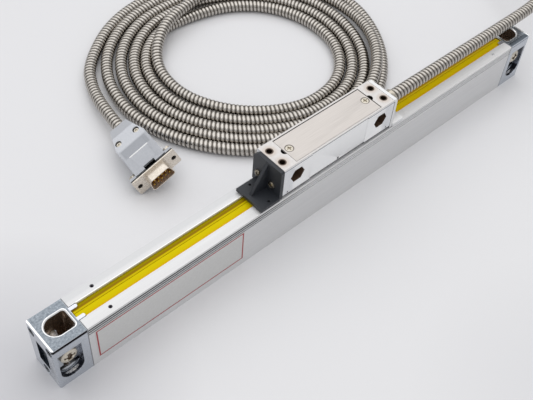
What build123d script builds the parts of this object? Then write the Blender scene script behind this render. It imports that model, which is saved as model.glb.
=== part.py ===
"""Linear glass scale: a sealed linear encoder with its reading head and armoured cable.

Units are millimetres. The origin is the bottom centre of the scale's bar, +X runs along the bar towards the
cable's side of the head, +Y points to the back and +Z is up. Each function builds one sub-part, and main writes
each sub-part to its own STEP file.
"""
import os
from math import pi, radians, tan

from build123d import *

# The bar
travel = 220.0
length_beyond_travel = 144.0
bar_width = 22.0
bar_height = 34.0
end_block_length = 19.0
end_gasket_thickness = 0.5
wall_thickness = 2.0
floor_thickness = 2.5
rail_thickness = 4.0
slot_width = 9.0
flute_depth = 0.5
flute_height = 0.9
flute_drops = (1.7, 3.4, 5.1)

# Running and seating clearances
bearing_clearance = 0.03
rolling_clearance = 0.08
thread_clearance = 0.05

# Screw ports of the profile, in two bosses under the rails and one on the floor
port_radius = 1.25
port_depth = 12.0
upper_port_y = 7.6
upper_port_drop = 5.2
lower_port_z = 4.2
upper_boss_width = 3.6
upper_boss_depth = 3.8
lower_boss_width = 5.0
lower_boss_height = 4.1

# Seal lips
lip_groove_depth = 1.1
lip_groove_drop = 1.5
lip_groove_height = 1.2
lip_fit = 0.05
lip_ridge_drop = 0.6
lip_thickness = 0.7
lip_gap = 1.9

# Glass scale
glass_height = 14.5
glass_thickness = 2.0
glass_y = 5.0
glass_floor_gap = 1.0
glass_end_margin = 4.0
bond_thickness = 0.2
bond_height = 5.0
rib_margin = 0.5

# End blocks
pocket_width = 11.0
pocket_inner_wall = 2.0
pocket_outer_wall = 4.0
pocket_floor = 7.0
pocket_corner = 1.8
pocket_bevel = 0.5
block_slot_width = 5.5
block_slot_inset = 8.5
block_slot_low = 10.5
block_slot_high = 20.0
counterbore_width = 13.0
counterbore_depth = 3.8
counterbore_low = 11.2
counterbore_top = 26.6
block_edge_chamfer = 0.6
finger_length = 4.3
finger_width = 2.0
finger_height = 0.7
finger_inset = 0.1
finger_round_share = 0.45
end_recess_width = 9.0
end_recess_depth = 1.5
end_recess_low = 9.0
end_recess_high = 25.0
front_groove_drop = 0.9
front_groove_height = 0.6
front_groove_depth = 0.5

# Screws
head_round_share = 0.45
cross_arm_share = 1.1
cross_slot_share = 0.26
flat_cross_arm_share = 1.0
screw_head_clearance = 0.2
screw_tip_gap = 2.0
block_screw_radius = 1.2
block_screw_head_radius = 2.6
block_screw_head_height = 1.7
mounting_screw_radius = 2.5
mounting_screw_head_radius = 4.8
mounting_screw_head_height = 3.4
mounting_screw_length = 16.0
mounting_screw_z = 19.6
set_screw_radius = 1.0
set_screw_inset = 15.2
set_screw_y = 7.7
set_screw_sink = 0.4
set_screw_socket_radius = 0.55
set_screw_socket_depth = 1.2
small_screw_radius = 1.2
small_screw_head_radius = 2.2
small_screw_head_height = 1.3
small_screw_grip = 5.0
small_screw_hole_depth = 6.0
far_screw_head_radius = 1.9

# Travel stops
stop_length = 8.0
stop_thickness = 2.4
stop_side_gap = 0.3

# Side label
label_from_end = 3.2
label_length = 94.0
label_low = 4.7
label_height = 23.2
label_thickness = 0.15

# Reading head
head_offset = 3.0
head_length = 84.0
head_width = 21.6
head_height = 20.0
head_clearance = 2.0
head_floor = 3.0
cavity_length = 48.0
cavity_width = 17.0
cover_length = 64.8
cover_width = 18.4
cover_thickness = 1.2
cover_gap = 0.2
cover_screw_inset = 3.4
cover_screw_radius = 1.0
cover_screw_head_radius = 2.2
cover_screw_depth = 4.0
cover_screw_tip_gap = 1.0
notch_radius = 2.1
notch_depth = 5.0
top_hole_radius = 1.65
top_hole_depth = 7.0
top_hole_spacing_x = 77.3
top_hole_spacing_y = 10.0
nut_pocket_flats = 8.8
nut_pocket_depth = 5.2
nut_pocket_spacing = 64.0
nut_pocket_height = 11.0
cross_bore_radius = 2.75
face_recess_depth = 0.4
face_recess_near = 22.0
face_recess_far = 21.0
gauge_hole_radius = 0.7
gauge_hole_height = 1.7
gauge_hole_depth = 2.0
dimple_spacing = 77.0
dimple_radius = 0.4
dimple_depth = 0.6
head_edge_chamfer = 0.5

# Brackets at the head's ends
near_plate_thickness = 2.3
far_plate_thickness = 2.3
gasket_thickness = 0.4
plate_drop = 1.2
plate_top_gap = 0.3
plate_corner = 3.0
plate_small_corner = 0.8
near_foot_length = 13.2
far_foot_length = 9.0
foot_thickness = 2.0
foot_reach = 11.4
near_foot_back = 8.7
gusset_thickness = 2.0
gusset_y = 0.3
gusset_toe = 2.5
gusset_top_gap = 1.0
near_screw_spacing = 10.8
near_screw_shift = 1.0
near_screw_height = 6.0
far_screw_spacing = 14.4
far_screw_height = 3.6
foot_hole_radius = 0.8
foot_hole_inset = 7.4
foot_hole_spacing = 14.9

# Cable gland and hose
hose_diameter = 7.8
gland_radius = 5.6
gland_length = 5.2
collar_radius = 4.9
collar_length = 3.5
spigot_depth = 1.8
spigot_radius = 4.0
gland_height = 8.5
inner_cable_radius = 1.9
inner_cable_height = 5.6
inner_cable_end = 1.0
cable_clearance = 0.3

# Carriage
carriage_length = 70.0
spine_front = -6.0
spine_back = -1.5
spine_bottom = 8.5
bridge_gap = 1.0
bridge_thickness = 4.2
bridge_back = 8.3
arm_length = 26.0
arm_thickness = 1.1
arm_bottom = 9.5
pad_length = 22.0
pad_back = 2.2
board_margin = 1.0
board_lift = 0.5
board_thickness = 0.8
light_board_thickness = 0.7
board_height = 7.5
grating_length = 8.0
grating_height = 4.5
grating_gap = 0.3
bearing_radius = 3.0
bearing_width = 2.5
bearing_pin_radius = 0.8
bearing_side_gap = 0.3
face_bearing_z = 13.6
face_bearing_spacing = 58.0
edge_bearing_spacing = 42.0
lug_thickness = 1.4
lug_half_width = 2.2
lug_wall = 0.6
pin_hold = 1.4

# Coupling blade
blade_length = 60.0
blade_thickness = 1.2
blade_point = 4.0
hub_length = 12.0
hub_width = 3.0
hub_height = 3.2
hub_gap = 0.6
blade_flange_length = 54.0
blade_flange_width = 8.0
blade_flange_thickness = 1.4
blade_screw_spacing = 36.0
blade_window_length = 8.0
blade_window_width = 2.0
blade_window_offset = 11.0
wire_radius = 0.6
wire_sink = 0.3
wire_length = 5.4
wire_hole_depth = 3.0
ribbon_thickness = 0.3
ribbon_width = 7.0

# Head electronics
head_board_length = 44.0
head_board_width = 15.0
head_board_thickness = 1.4
head_board_rise = 3.0
post_radius = 1.5
post_spacing_x = 40.0
post_spacing_y = 12.0
chip_sizes = ((12.0, 8.0, 1.6, -12.0, 1.5), (8.0, 6.0, 1.4, 4.0, -3.0), (9.0, 11.0, 4.0, 16.0, 0.0))

# Connector, in its own frame: X along the flange, -Y out of the shell, Z up
plug_centre = (-67.3, 62.0, 12.7)
plug_turn = -7.6
plug_pitch = -3.9
plug_roll = -25.0
flange_length = 30.8
flange_height = 12.5
flange_thickness = 0.8
flange_corner = 1.2
flange_hole_radius = 1.55
flange_hole_spacing = 25.0
shell_width = 17.0
shell_height = 8.5
shell_wall = 0.5
shell_depth = 6.1
shell_corner = 2.2
shell_slant = 10.0
insulator_gap = 0.1
back_plate_inset = 0.6
back_plate_thickness = 1.0
pin_radius = 0.5
pin_round_share = 0.8
pin_pitch = 2.77
row_pitch = 2.84
pin_recess = 1.2
pin_length = 4.2
pin_tail = 2.0
ear_thickness = 1.8
ear_length = 30.0
ear_height = 12.2
hood_end = 43.0
hood_thickness = 14.0
hood_body_half = 10.6
hood_shoulder_half = 8.6
hood_end_half = 6.0
hood_body_end = 26.0
hood_shoulder_end = 32.0
hood_wall = 1.5
hood_pillar = 3.0
hood_nose_drop = 2.0
hood_nose_length = 8.0
hood_split_gap = 0.05
hood_notch_width = 7.6
hood_notch_depth = 2.2
hood_screw_x = 6.6
hood_screw_y = 29.5
hood_screw_recess_radius = 2.1
hood_screw_recess_depth = 2.0
hood_screw_head_height = 1.2
hood_screw_radius = 1.0
hood_screw_floor = 1.0
hood_panel_width = 12.8
hood_panel_from = 5.0
hood_panel_to = 15.8
hood_panel_depth = 0.3
jack_screw_head_radius = 2.7
jack_screw_head_length = 5.0
jack_screw_head_chamfer = 0.4
jack_screw_slot_width = 0.8
jack_screw_slot_depth = 1.2
jack_screw_shank_radius = 1.25
jack_screw_tip = 0.2
jack_screw_gap = 0.1
jack_screw_side_gap = 0.3
plug_cable_length = 16.0

# The coil on the floor
coil_centre = (50.0, 116.0)
coil_half_length = 100.0
coil_half_width = 91.5
coil_eye_centre = (47.5, 110.5)
coil_eye_radius = 53.0

# The hose's free routes, as points chosen along its centreline
lead_route = (
    (106.0, 0.0, 44.5),
    (158.0, 0.4, 43.4),
    (206.0, 2.0, 41.4),
    (244.0, 12.5, 40.2),
    (267.0, 42.0, 34.5),
    (269.0, 81.0, 23.0),
    (255.0, 118.0, 12.5),
    (229.0, 148.0, 6.2),
    (194.0, 166.0, 4.4),
    (160.0, 175.5, 6.0),
    (129.0, 177.5, 12.4),
    (90.0, 170.0, 12.4),
    (66.0, 164.5, 7.0),
)
tail_first_run = 21.8
tail_route = (
    (-52.4, 149.0, 5.3),
    (-40.8, 171.0, 4.2),
    (-22.0, 190.0, 3.95),
    (2.0, 200.0, 3.95),
    (27.0, 203.5, 3.9),
)
arc_share = 0.45

# Places worked out from the sizes above
overall_length = travel + length_beyond_travel
half_length = overall_length / 2
block_inner = half_length - end_block_length
housing_end = block_inner - end_gasket_thickness
half_width = bar_width / 2
rail_bottom = bar_height - rail_thickness
cavity_half = half_width - wall_thickness
half_slot = slot_width / 2
groove_top = bar_height - lip_groove_drop
groove_bottom = groove_top - lip_groove_height
upper_port_z = bar_height - upper_port_drop
boss_bottom = rail_bottom - upper_boss_depth
boss_inner = cavity_half - upper_boss_width
glass_bottom = floor_thickness + glass_floor_gap
glass_top = glass_bottom + glass_height
glass_front = glass_y - glass_thickness / 2
glass_back = glass_y + glass_thickness / 2
rib_face = glass_back + bond_thickness
rib_top = glass_bottom + bond_height + rib_margin
pocket_half = pocket_width / 2
block_slot_x = half_length - block_slot_inset
pocket_flat_x = block_inner + pocket_inner_wall
pocket_round_x = half_length - pocket_outer_wall - pocket_half
block_screw_seat = half_length - block_screw_head_height - screw_head_clearance
set_screw_x = housing_end - set_screw_inset
stop_inner = set_screw_x - stop_length / 2
hose_radius = hose_diameter / 2
head_bottom = bar_height + head_clearance
head_top = head_bottom + head_height
head_near = head_offset - head_length / 2
head_far = head_offset + head_length / 2
head_half = head_width / 2
cavity_floor = head_bottom + head_floor
cover_bottom = head_top - cover_thickness
cover_screw_spacing = cover_length - 2 * cover_screw_inset
cavity_near = head_offset - cavity_length / 2
cavity_far = head_offset + cavity_length / 2
nut_pocket_z = head_bottom + nut_pocket_height
plate_bottom = head_bottom - plate_drop
plate_top = head_top - plate_top_gap
near_plate_outer = head_near - near_plate_thickness
far_plate_inner = head_far + gasket_thickness
far_plate_outer = far_plate_inner + far_plate_thickness
foot_top = plate_bottom + foot_thickness
near_screw_z = head_bottom + near_screw_height
far_screw_z = head_bottom + far_screw_height
gland_z = head_bottom + gland_height
gland_end = far_plate_outer + gland_length + collar_length
spigot_start = head_far - spigot_depth
inner_cable_z = head_bottom + inner_cable_height
bridge_bottom = glass_top + bridge_gap
bridge_top = bridge_bottom + bridge_thickness
hub_bottom = bridge_top + hub_gap
hub_top = hub_bottom + hub_height
stop_top = boss_bottom
stop_bottom = stop_top - stop_thickness
face_bearing_y = glass_front - rolling_clearance - bearing_radius
edge_bearing_z = glass_top + rolling_clearance + bearing_radius
blade_flange_bottom = head_bottom - blade_flange_thickness
board_bottom = cavity_floor + head_board_rise
blade_window_x = head_offset + blade_window_offset
half_race = bearing_width / 2 + bearing_side_gap
hood_front = flange_thickness + back_plate_thickness
ear_back = hood_front + ear_thickness
insulator_front = pin_length + pin_recess - shell_depth


def block(x_from, x_to, y_from, y_to, z_from, z_to):
    """A box between two corners."""
    centre = ((x_from + x_to) / 2, (y_from + y_to) / 2, (z_from + z_to) / 2)
    return Pos(*centre) * Box(abs(x_to - x_from), abs(y_to - y_from), abs(z_to - z_from))


def rod_x(radius, x_from, x_to, y, z):
    """A round bar along X."""
    return Pos((x_from + x_to) / 2, y, z) * Rot(0, 90, 0) * Cylinder(radius, abs(x_to - x_from))


def rod_y(radius, y_from, y_to, x, z):
    """A round bar along Y."""
    return Pos(x, (y_from + y_to) / 2, z) * Rot(90, 0, 0) * Cylinder(radius, abs(y_to - y_from))


def rod_z(radius, z_from, z_to, x, y):
    """A round bar along Z."""
    return Pos(x, y, (z_from + z_to) / 2) * Cylinder(radius, abs(z_to - z_from))


def prism_x(points, x_from, x_to):
    """An outline in the Y-Z plane, drawn out along X."""
    face = Plane.YZ * make_face(Polyline(*points, close=True))
    return Pos(x_from, 0, 0) * extrude(face, x_to - x_from, dir=(1, 0, 0))


def prism_y(points, y_from, y_to):
    """An outline in the X-Z plane, drawn out along Y."""
    face = Plane.XZ * make_face(Polyline(*points, close=True))
    return Pos(0, y_from, 0) * extrude(face, y_to - y_from, dir=(0, 1, 0))


def prism_z(points, z_from, z_to):
    """An outline in the X-Y plane, drawn out along Z."""
    face = make_face(Polyline(*points, close=True))
    return Pos(0, 0, z_from) * extrude(face, z_to - z_from)


def pan_screw(radius, length, head_radius, head_height):
    """A cross-recessed pan head screw along Z: head above the seat at z = 0, shank below it."""
    head = Pos(0, 0, head_height / 2) * Cylinder(head_radius, head_height)
    head = fillet(head.edges().sort_by(Axis.Z)[-1], head_height * head_round_share)
    shank = Pos(0, 0, -length / 2) * Cylinder(radius, length)
    arm = head_radius * cross_arm_share
    slot = head_radius * cross_slot_share
    recess = Box(arm, slot, head_height) + Box(slot, arm, head_height)
    return head + shank - Pos(0, 0, head_height) * recess


def flat_screw(radius, length, head_radius):
    """A cross-recessed countersunk screw along Z: head flush at z = 0, tip at -length."""
    cone_height = head_radius - radius
    cone = Pos(0, 0, -cone_height / 2) * Cone(radius, head_radius, cone_height)
    shank = Pos(0, 0, -length / 2) * Cylinder(radius, length)
    arm = head_radius * flat_cross_arm_share
    slot = head_radius * cross_slot_share
    recess = Box(arm, slot, cone_height) + Box(slot, arm, cone_height)
    return cone + shank - recess


def mirrored(shape):
    """The same shape at the bar's other end."""
    return mirror(shape, Plane.YZ)


# The bar's own pieces


def scale_housing():
    """The extruded profile, with its slot, seal grooves, screw ports, glass rib and side flutes."""
    near = -housing_end
    far = housing_end
    body = block(near, far, -half_width, half_width, 0, bar_height)
    body -= block(near, far, -cavity_half, cavity_half, floor_thickness, rail_bottom)
    for side in (-1, 1):
        body += block(near, far, side * boss_inner, side * cavity_half, boss_bottom, rail_bottom)
    half_boss = lower_boss_width / 2
    body += block(near, far, -half_boss, half_boss, floor_thickness, floor_thickness + lower_boss_height)
    body += block(near, far, rib_face, cavity_half, floor_thickness, rib_top)
    body -= block(near, far, -half_slot, half_slot, rail_bottom, bar_height)
    groove_half = half_slot + lip_groove_depth
    body -= block(near, far, -groove_half, groove_half, groove_bottom, groove_top)
    for side in (-1, 1):
        for drop in flute_drops:
            flute_top = bar_height - drop
            flute_y = side * (half_width - flute_depth)
            body -= block(near, far, flute_y, side * half_width, flute_top - flute_height, flute_top)
    for end in (-1, 1):
        for y, z in block_screw_places():
            body -= rod_x(port_radius, end * (housing_end - port_depth), end * housing_end, y, z)
        for side in (-1, 1):
            hole_radius = set_screw_radius + thread_clearance
            body -= rod_z(hole_radius, boss_bottom, bar_height, end * set_screw_x, side * set_screw_y)
    return body


def seal_lip(side):
    """One soft lip: its root sits in the rail's groove and its edge rises to the ridge over the slot."""
    top = groove_top - lip_fit
    bottom = groove_bottom + lip_fit
    root = side * (half_slot + lip_groove_depth - lip_fit)
    rail = side * half_slot
    edge = side * lip_gap / 2
    ridge = bar_height - lip_ridge_drop
    upper = ((root, top), (rail, top), (edge, ridge))
    lower = ((edge, ridge - lip_thickness), (rail, bottom), (root, bottom))
    return prism_x(upper + lower, -housing_end, housing_end)


def block_screw_places():
    """Y and Z of the three screws that hold an end block."""
    return ((-upper_port_y, upper_port_z), (upper_port_y, upper_port_z), (0, lower_port_z))


def end_block():
    """The near end's die casting, with its top pocket, front counterbore, upright slot and two fingers."""
    body = block(-half_length, -block_inner, -half_width, half_width, 0, bar_height)
    body = chamfer(body.edges().filter_by(Axis.Z).group_by(Axis.X)[0], block_edge_chamfer)
    pocket = block(-pocket_round_x, -pocket_flat_x, -pocket_half, pocket_half, pocket_floor, bar_height)
    pocket = fillet(pocket.edges().filter_by(Axis.Z).group_by(Axis.X)[-1], pocket_corner)
    pocket += rod_z(pocket_half, pocket_floor, bar_height, -pocket_round_x, 0)
    body -= pocket
    mouth = body.faces().sort_by(Axis.Z)[-1].inner_wires()[0]
    body = chamfer(mouth.edges(), pocket_bevel)
    middle = -block_slot_x
    bore = counterbore_width / 2
    seat = -half_width + counterbore_depth
    body -= block(middle - bore, middle + bore, -half_width, seat, counterbore_low, counterbore_top)
    body -= rod_y(bore, -half_width, seat, middle, counterbore_low)
    slot = block_slot_width / 2
    body -= block(middle - slot, middle + slot, -half_width, half_width, block_slot_low, block_slot_high)
    for z in (block_slot_low, block_slot_high):
        body -= rod_y(slot, -half_width, half_width, middle, z)
    groove_front = -half_width + front_groove_depth
    groove_roof = bar_height - front_groove_drop
    groove_sill = groove_roof - front_groove_height
    body -= block(-half_length, -block_inner, -half_width, groove_front, groove_sill, groove_roof)
    recess_x = -half_length + end_recess_depth
    half_recess = end_recess_width / 2
    body -= block(-half_length, recess_x, -half_recess, half_recess, end_recess_low, end_recess_high)
    for y, z in block_screw_places():
        body -= rod_x(block_screw_radius + thread_clearance, -half_length, -block_inner, y, z)
        body -= rod_x(block_screw_head_radius + screw_head_clearance, -half_length, -block_screw_seat, y, z)
    for side in (-1, 1):
        outer = side * (half_slot - finger_inset)
        inner = outer - side * finger_width
        tip = -block_inner + finger_length
        finger = block(-block_inner, tip, inner, outer, bar_height - finger_height, bar_height)
        tip_edges = finger.edges().filter_by(Axis.Z).group_by(Axis.X)[-1]
        body += fillet(tip_edges, finger_width * finger_round_share)
    return body


def end_gasket():
    """The near end's gasket between the block and the profile."""
    body = block(-block_inner, -housing_end, -half_width, half_width, 0, bar_height)
    body -= block(-block_inner, -housing_end, -half_slot, half_slot, groove_bottom, bar_height)
    for y, z in block_screw_places():
        body -= rod_x(block_screw_radius + thread_clearance, -block_inner, -housing_end, y, z)
    return body


def end_block_screws():
    """Three screws at each end, through the block and gasket into the profile's ports."""
    length = block_screw_seat - (housing_end - port_depth + screw_tip_gap)
    screw = pan_screw(block_screw_radius, length, block_screw_head_radius, block_screw_head_height)
    screws = []
    for y, z in block_screw_places():
        screws.append(Pos(block_screw_seat, y, z) * Rot(0, 90, 0) * screw)
        screws.append(Pos(-block_screw_seat, y, z) * Rot(0, -90, 0) * screw)
    return screws


def mounting_screws():
    """One pan head screw in each end block's slot, head in the counterbore."""
    screw = pan_screw(
        mounting_screw_radius, mounting_screw_length, mounting_screw_head_radius, mounting_screw_head_height
    )
    seat = -half_width + counterbore_depth
    return [Pos(end * block_slot_x, seat, mounting_screw_z) * Rot(90, 0, 0) * screw for end in (-1, 1)]


def rail_set_screws():
    """Four hexagon-socket set screws that hold the travel stops."""
    top = bar_height - set_screw_sink
    length = top - boss_bottom
    screw = Pos(0, 0, -length / 2) * Cylinder(set_screw_radius, length)
    screw -= extrude(RegularPolygon(set_screw_socket_radius, 6), -set_screw_socket_depth)
    places = [(end * set_screw_x, side * set_screw_y) for end in (-1, 1) for side in (-1, 1)]
    return [Pos(x, y, top) * screw for x, y in places]


def travel_stop():
    """The near end's rubber bar, which the coupling blade would meet past its travel."""
    half = cavity_half - stop_side_gap
    return block(-stop_inner - stop_length, -stop_inner, -half, half, stop_bottom, stop_top)


def glass_scale():
    """The graduated glass strip, standing on edge."""
    end = housing_end - glass_end_margin
    return block(-end, end, glass_front, glass_back, glass_bottom, glass_top)


def glass_bonding_strip():
    """The layer of adhesive between the glass and the profile's rib."""
    end = housing_end - glass_end_margin
    return block(-end, end, glass_back, rib_face, glass_bottom, glass_bottom + bond_height)


def side_label():
    """The plain plate on the front of the profile."""
    start = -housing_end + label_from_end
    front = -half_width - label_thickness
    return block(start, start + label_length, front, -half_width, label_low, label_low + label_height)


# The reading head


def top_hole_places():
    """Centres of the four tapped holes in the head's top."""
    half_x = top_hole_spacing_x / 2
    half_y = top_hole_spacing_y / 2
    return [(head_offset + end * half_x, side * half_y) for end in (-1, 1) for side in (-1, 1)]


def board_post_places():
    """Centres of the four posts under the head's board."""
    half_x = post_spacing_x / 2
    half_y = post_spacing_y / 2
    return [(head_offset + end * half_x, side * half_y) for end in (-1, 1) for side in (-1, 1)]


def near_screw_places():
    """Y of the near bracket's screws."""
    return [near_screw_shift + side * near_screw_spacing / 2 for side in (-1, 1)]


def far_screw_places():
    """Y of the far bracket's screws."""
    return [side * far_screw_spacing / 2 for side in (-1, 1)]


def head_housing():
    """The die-cast body of the head."""
    body = block(head_near, head_far, -head_half, head_half, head_bottom, head_top)
    body = chamfer(body.edges().filter_by(Axis.X).group_by(Axis.Z)[-1], head_edge_chamfer)
    body -= block(cavity_near, cavity_far, -cavity_width / 2, cavity_width / 2, cavity_floor, head_top)
    seat_near = head_offset - cover_length / 2 - cover_gap
    seat_far = head_offset + cover_length / 2 + cover_gap
    half_seat = cover_width / 2 + cover_gap
    body -= block(seat_near, seat_far, -half_seat, half_seat, cover_bottom, head_top)
    for x, y in board_post_places():
        body += rod_z(post_radius, cavity_floor, board_bottom, x, y)
    for x, y in top_hole_places():
        body -= rod_z(top_hole_radius, head_top - top_hole_depth, head_top, x, y)
    gauge_z = head_bottom + gauge_hole_height
    hexagon = Plane.XZ * RegularPolygon(nut_pocket_flats / 2, 6, major_radius=False)
    nut_pocket = extrude(hexagon, nut_pocket_depth, dir=(0, 1, 0))
    for side in (-1, 1):
        screw_x = head_offset + side * cover_screw_spacing / 2
        screw_bottom = cover_bottom - cover_screw_depth
        body -= rod_z(cover_screw_radius + thread_clearance, screw_bottom, cover_bottom, screw_x, 0)
        notch_x = head_offset + side * cover_length / 2
        body -= rod_z(notch_radius, head_top - notch_depth, head_top, notch_x, 0)
        pocket_x = head_offset + side * nut_pocket_spacing / 2
        body -= Pos(pocket_x, -head_half, nut_pocket_z) * nut_pocket
        body -= rod_y(cross_bore_radius, -head_half, head_half, pocket_x, nut_pocket_z)
        dimple_x = head_offset + side * dimple_spacing / 2
        body -= rod_y(dimple_radius, -head_half, -head_half + dimple_depth, dimple_x, gauge_z)
        blade_screw_x = head_offset + side * blade_screw_spacing / 2
        body -= rod_z(small_screw_radius + thread_clearance, head_bottom, cavity_floor, blade_screw_x, 0)
    recess_near = head_offset - face_recess_near
    recess_far = head_offset + face_recess_far
    body -= block(recess_near, recess_far, -head_half, -head_half + face_recess_depth, head_bottom, head_top)
    body -= rod_y(gauge_hole_radius, -head_half, -head_half + gauge_hole_depth, head_offset, gauge_z)
    screw_hole = small_screw_radius + thread_clearance
    for y in near_screw_places():
        body -= rod_x(screw_hole, head_near, head_near + small_screw_hole_depth, y, near_screw_z)
    for y in far_screw_places():
        body -= rod_x(screw_hole, head_far - small_screw_hole_depth, head_far, y, far_screw_z)
    body -= rod_x(spigot_radius + thread_clearance, spigot_start, head_far, 0, gland_z)
    body -= rod_x(inner_cable_radius + cable_clearance, cavity_far, head_far, 0, inner_cable_z)
    half_window = blade_window_length / 2
    half_gap = blade_window_width / 2
    window = (blade_window_x - half_window, blade_window_x + half_window, -half_gap, half_gap)
    body -= block(*window, head_bottom, cavity_floor)
    return body


def head_cover_plate():
    """The brushed plate over the head's cavity."""
    half_x = cover_length / 2
    half_y = cover_width / 2
    plate = block(head_offset - half_x, head_offset + half_x, -half_y, half_y, cover_bottom, head_top)
    hole = cover_screw_radius + thread_clearance
    cone_height = cover_screw_head_radius - cover_screw_radius
    countersink = Cone(hole, cover_screw_head_radius + thread_clearance, cone_height)
    for side in (-1, 1):
        x = head_offset + side * cover_screw_spacing / 2
        plate -= rod_z(hole, cover_bottom, head_top, x, 0)
        plate -= Pos(x, 0, head_top - cone_height / 2) * countersink
    return plate


def cover_screws():
    """Two countersunk screws in the cover plate."""
    length = cover_thickness + cover_screw_depth - cover_screw_tip_gap
    screw = flat_screw(cover_screw_radius, length, cover_screw_head_radius)
    return [Pos(head_offset + side * cover_screw_spacing / 2, 0, head_top) * screw for side in (-1, 1)]


def plate_outline(back_corner):
    """A bracket plate's outline in Y and Z, with its top back corner cut by the given size."""
    return (
        (-head_half, plate_bottom),
        (head_half, plate_bottom),
        (head_half, plate_top - back_corner),
        (head_half - back_corner, plate_top),
        (-head_half + plate_small_corner, plate_top),
        (-head_half, plate_top - plate_small_corner),
    )


def near_end_bracket():
    """Black moulding: a plate on the head's end, a foot over the rails and a gusset between them."""
    body = prism_x(plate_outline(plate_corner), near_plate_outer, head_near)
    toe = near_plate_outer - near_foot_length
    body += block(toe, near_plate_outer, -foot_reach, near_foot_back, plate_bottom, foot_top)
    gusset = (
        (near_plate_outer, plate_top - gusset_top_gap),
        (toe + gusset_toe, foot_top),
        (near_plate_outer, foot_top),
    )
    body += prism_y(gusset, gusset_y - gusset_thickness / 2, gusset_y + gusset_thickness / 2)
    for y in near_screw_places():
        body -= rod_x(small_screw_radius + thread_clearance, near_plate_outer, head_near, y, near_screw_z)
    foot_middle = (near_foot_back - foot_reach) / 2
    for side in (-1, 1):
        hole_y = foot_middle + side * foot_hole_spacing / 2
        body -= rod_z(foot_hole_radius, plate_bottom, foot_top, toe + foot_hole_inset, hole_y)
    return body


def near_bracket_screws():
    """Two pan head screws in the near bracket."""
    length = near_plate_thickness + small_screw_grip
    screw = pan_screw(small_screw_radius, length, small_screw_head_radius, small_screw_head_height)
    return [Pos(near_plate_outer, y, near_screw_z) * Rot(0, -90, 0) * screw for y in near_screw_places()]


def far_bracket_gasket():
    """The thin gasket between the head and the far bracket."""
    body = prism_x(plate_outline(plate_small_corner), head_far, far_plate_inner)
    body -= rod_x(spigot_radius + thread_clearance, head_far, far_plate_inner, 0, gland_z)
    for y in far_screw_places():
        body -= rod_x(small_screw_radius + thread_clearance, head_far, far_plate_inner, y, far_screw_z)
    return body


def far_end_bracket():
    """Light metal bracket that carries the gland and reaches over the rails."""
    body = prism_x(plate_outline(plate_small_corner), far_plate_inner, far_plate_outer)
    toe = far_plate_outer + far_foot_length
    body += block(far_plate_outer, toe, -foot_reach, foot_reach, plate_bottom, foot_top)
    body -= rod_x(spigot_radius + thread_clearance, far_plate_inner, far_plate_outer, 0, gland_z)
    for y in far_screw_places():
        body -= rod_x(small_screw_radius + thread_clearance, far_plate_inner, far_plate_outer, y, far_screw_z)
    return body


def far_bracket_screws():
    """Two pan head screws in the far bracket."""
    length = far_plate_thickness + gasket_thickness + small_screw_grip
    screw = pan_screw(small_screw_radius, length, far_screw_head_radius, small_screw_head_height)
    return [Pos(far_plate_outer, y, far_screw_z) * Rot(0, 90, 0) * screw for y in far_screw_places()]


def cable_gland():
    """Stepped gland: spigot in the bracket and head, a hexagon, and a collar at the hose's end."""
    hexagon = Plane.YZ * RegularPolygon(gland_radius, 6)
    body = Pos(far_plate_outer, 0, gland_z) * extrude(hexagon, gland_length, dir=(1, 0, 0))
    body += rod_x(collar_radius, far_plate_outer + gland_length, gland_end, 0, gland_z)
    body += rod_x(spigot_radius, spigot_start, far_plate_outer, 0, gland_z)
    return body - rod_x(inner_cable_radius + cable_clearance, spigot_start, gland_end, 0, gland_z)


def inner_cable():
    """The bare cable from the gland to the head's cavity."""
    return rod_x(inner_cable_radius, cavity_far - inner_cable_end, spigot_start, 0, inner_cable_z)


def coupling_blade():
    """Thin blade through the seal lips, with a flange under the head and a hub over the carriage."""
    near = head_offset - blade_length / 2
    far = head_offset + blade_length / 2
    half_thick = blade_thickness / 2
    outline = (
        (near, 0),
        (near + blade_point, -half_thick),
        (far - blade_point, -half_thick),
        (far, 0),
        (far - blade_point, half_thick),
        (near + blade_point, half_thick),
    )
    body = prism_z(outline, hub_bottom, blade_flange_bottom)
    hub_near = head_offset - hub_length / 2
    hub_far = head_offset + hub_length / 2
    body += block(hub_near, hub_far, -hub_width / 2, hub_width / 2, hub_bottom, hub_top)
    flange_near = head_offset - blade_flange_length / 2
    flange_far = head_offset + blade_flange_length / 2
    half_flange = blade_flange_width / 2
    body += block(flange_near, flange_far, -half_flange, half_flange, blade_flange_bottom, head_bottom)
    body -= rod_z(wire_radius, hub_bottom, hub_top, head_offset, 0)
    half_window = blade_window_length / 2
    half_gap = blade_window_width / 2
    window = (blade_window_x - half_window, blade_window_x + half_window, -half_gap, half_gap)
    body -= block(*window, hub_bottom, head_bottom)
    for side in (-1, 1):
        x = head_offset + side * blade_screw_spacing / 2
        body -= rod_z(small_screw_radius + thread_clearance, blade_flange_bottom, head_bottom, x, 0)
    return body


def blade_screws():
    """Two screws from the head's cavity into the blade's flange."""
    length = cavity_floor - blade_flange_bottom
    screw = pan_screw(small_screw_radius, length, small_screw_head_radius, small_screw_head_height)
    return [Pos(head_offset + side * blade_screw_spacing / 2, 0, cavity_floor) * screw for side in (-1, 1)]


def coupling_wire():
    """The springy wire that drags the carriage along."""
    top = hub_top - wire_sink
    return rod_z(wire_radius, top - wire_length, top, head_offset, 0)


def signal_ribbon():
    """The flat lead from the carriage through the blade to the head's board."""
    near = blade_window_x - ribbon_width / 2
    far = blade_window_x + ribbon_width / 2
    half_thick = ribbon_thickness / 2
    return block(near, far, -half_thick, half_thick, bridge_top, board_bottom)


def head_circuit_board():
    """The board that turns the reading into a clean signal."""
    near = head_offset - head_board_length / 2
    far = head_offset + head_board_length / 2
    half = head_board_width / 2
    return block(near, far, -half, half, board_bottom, board_bottom + head_board_thickness)


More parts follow.
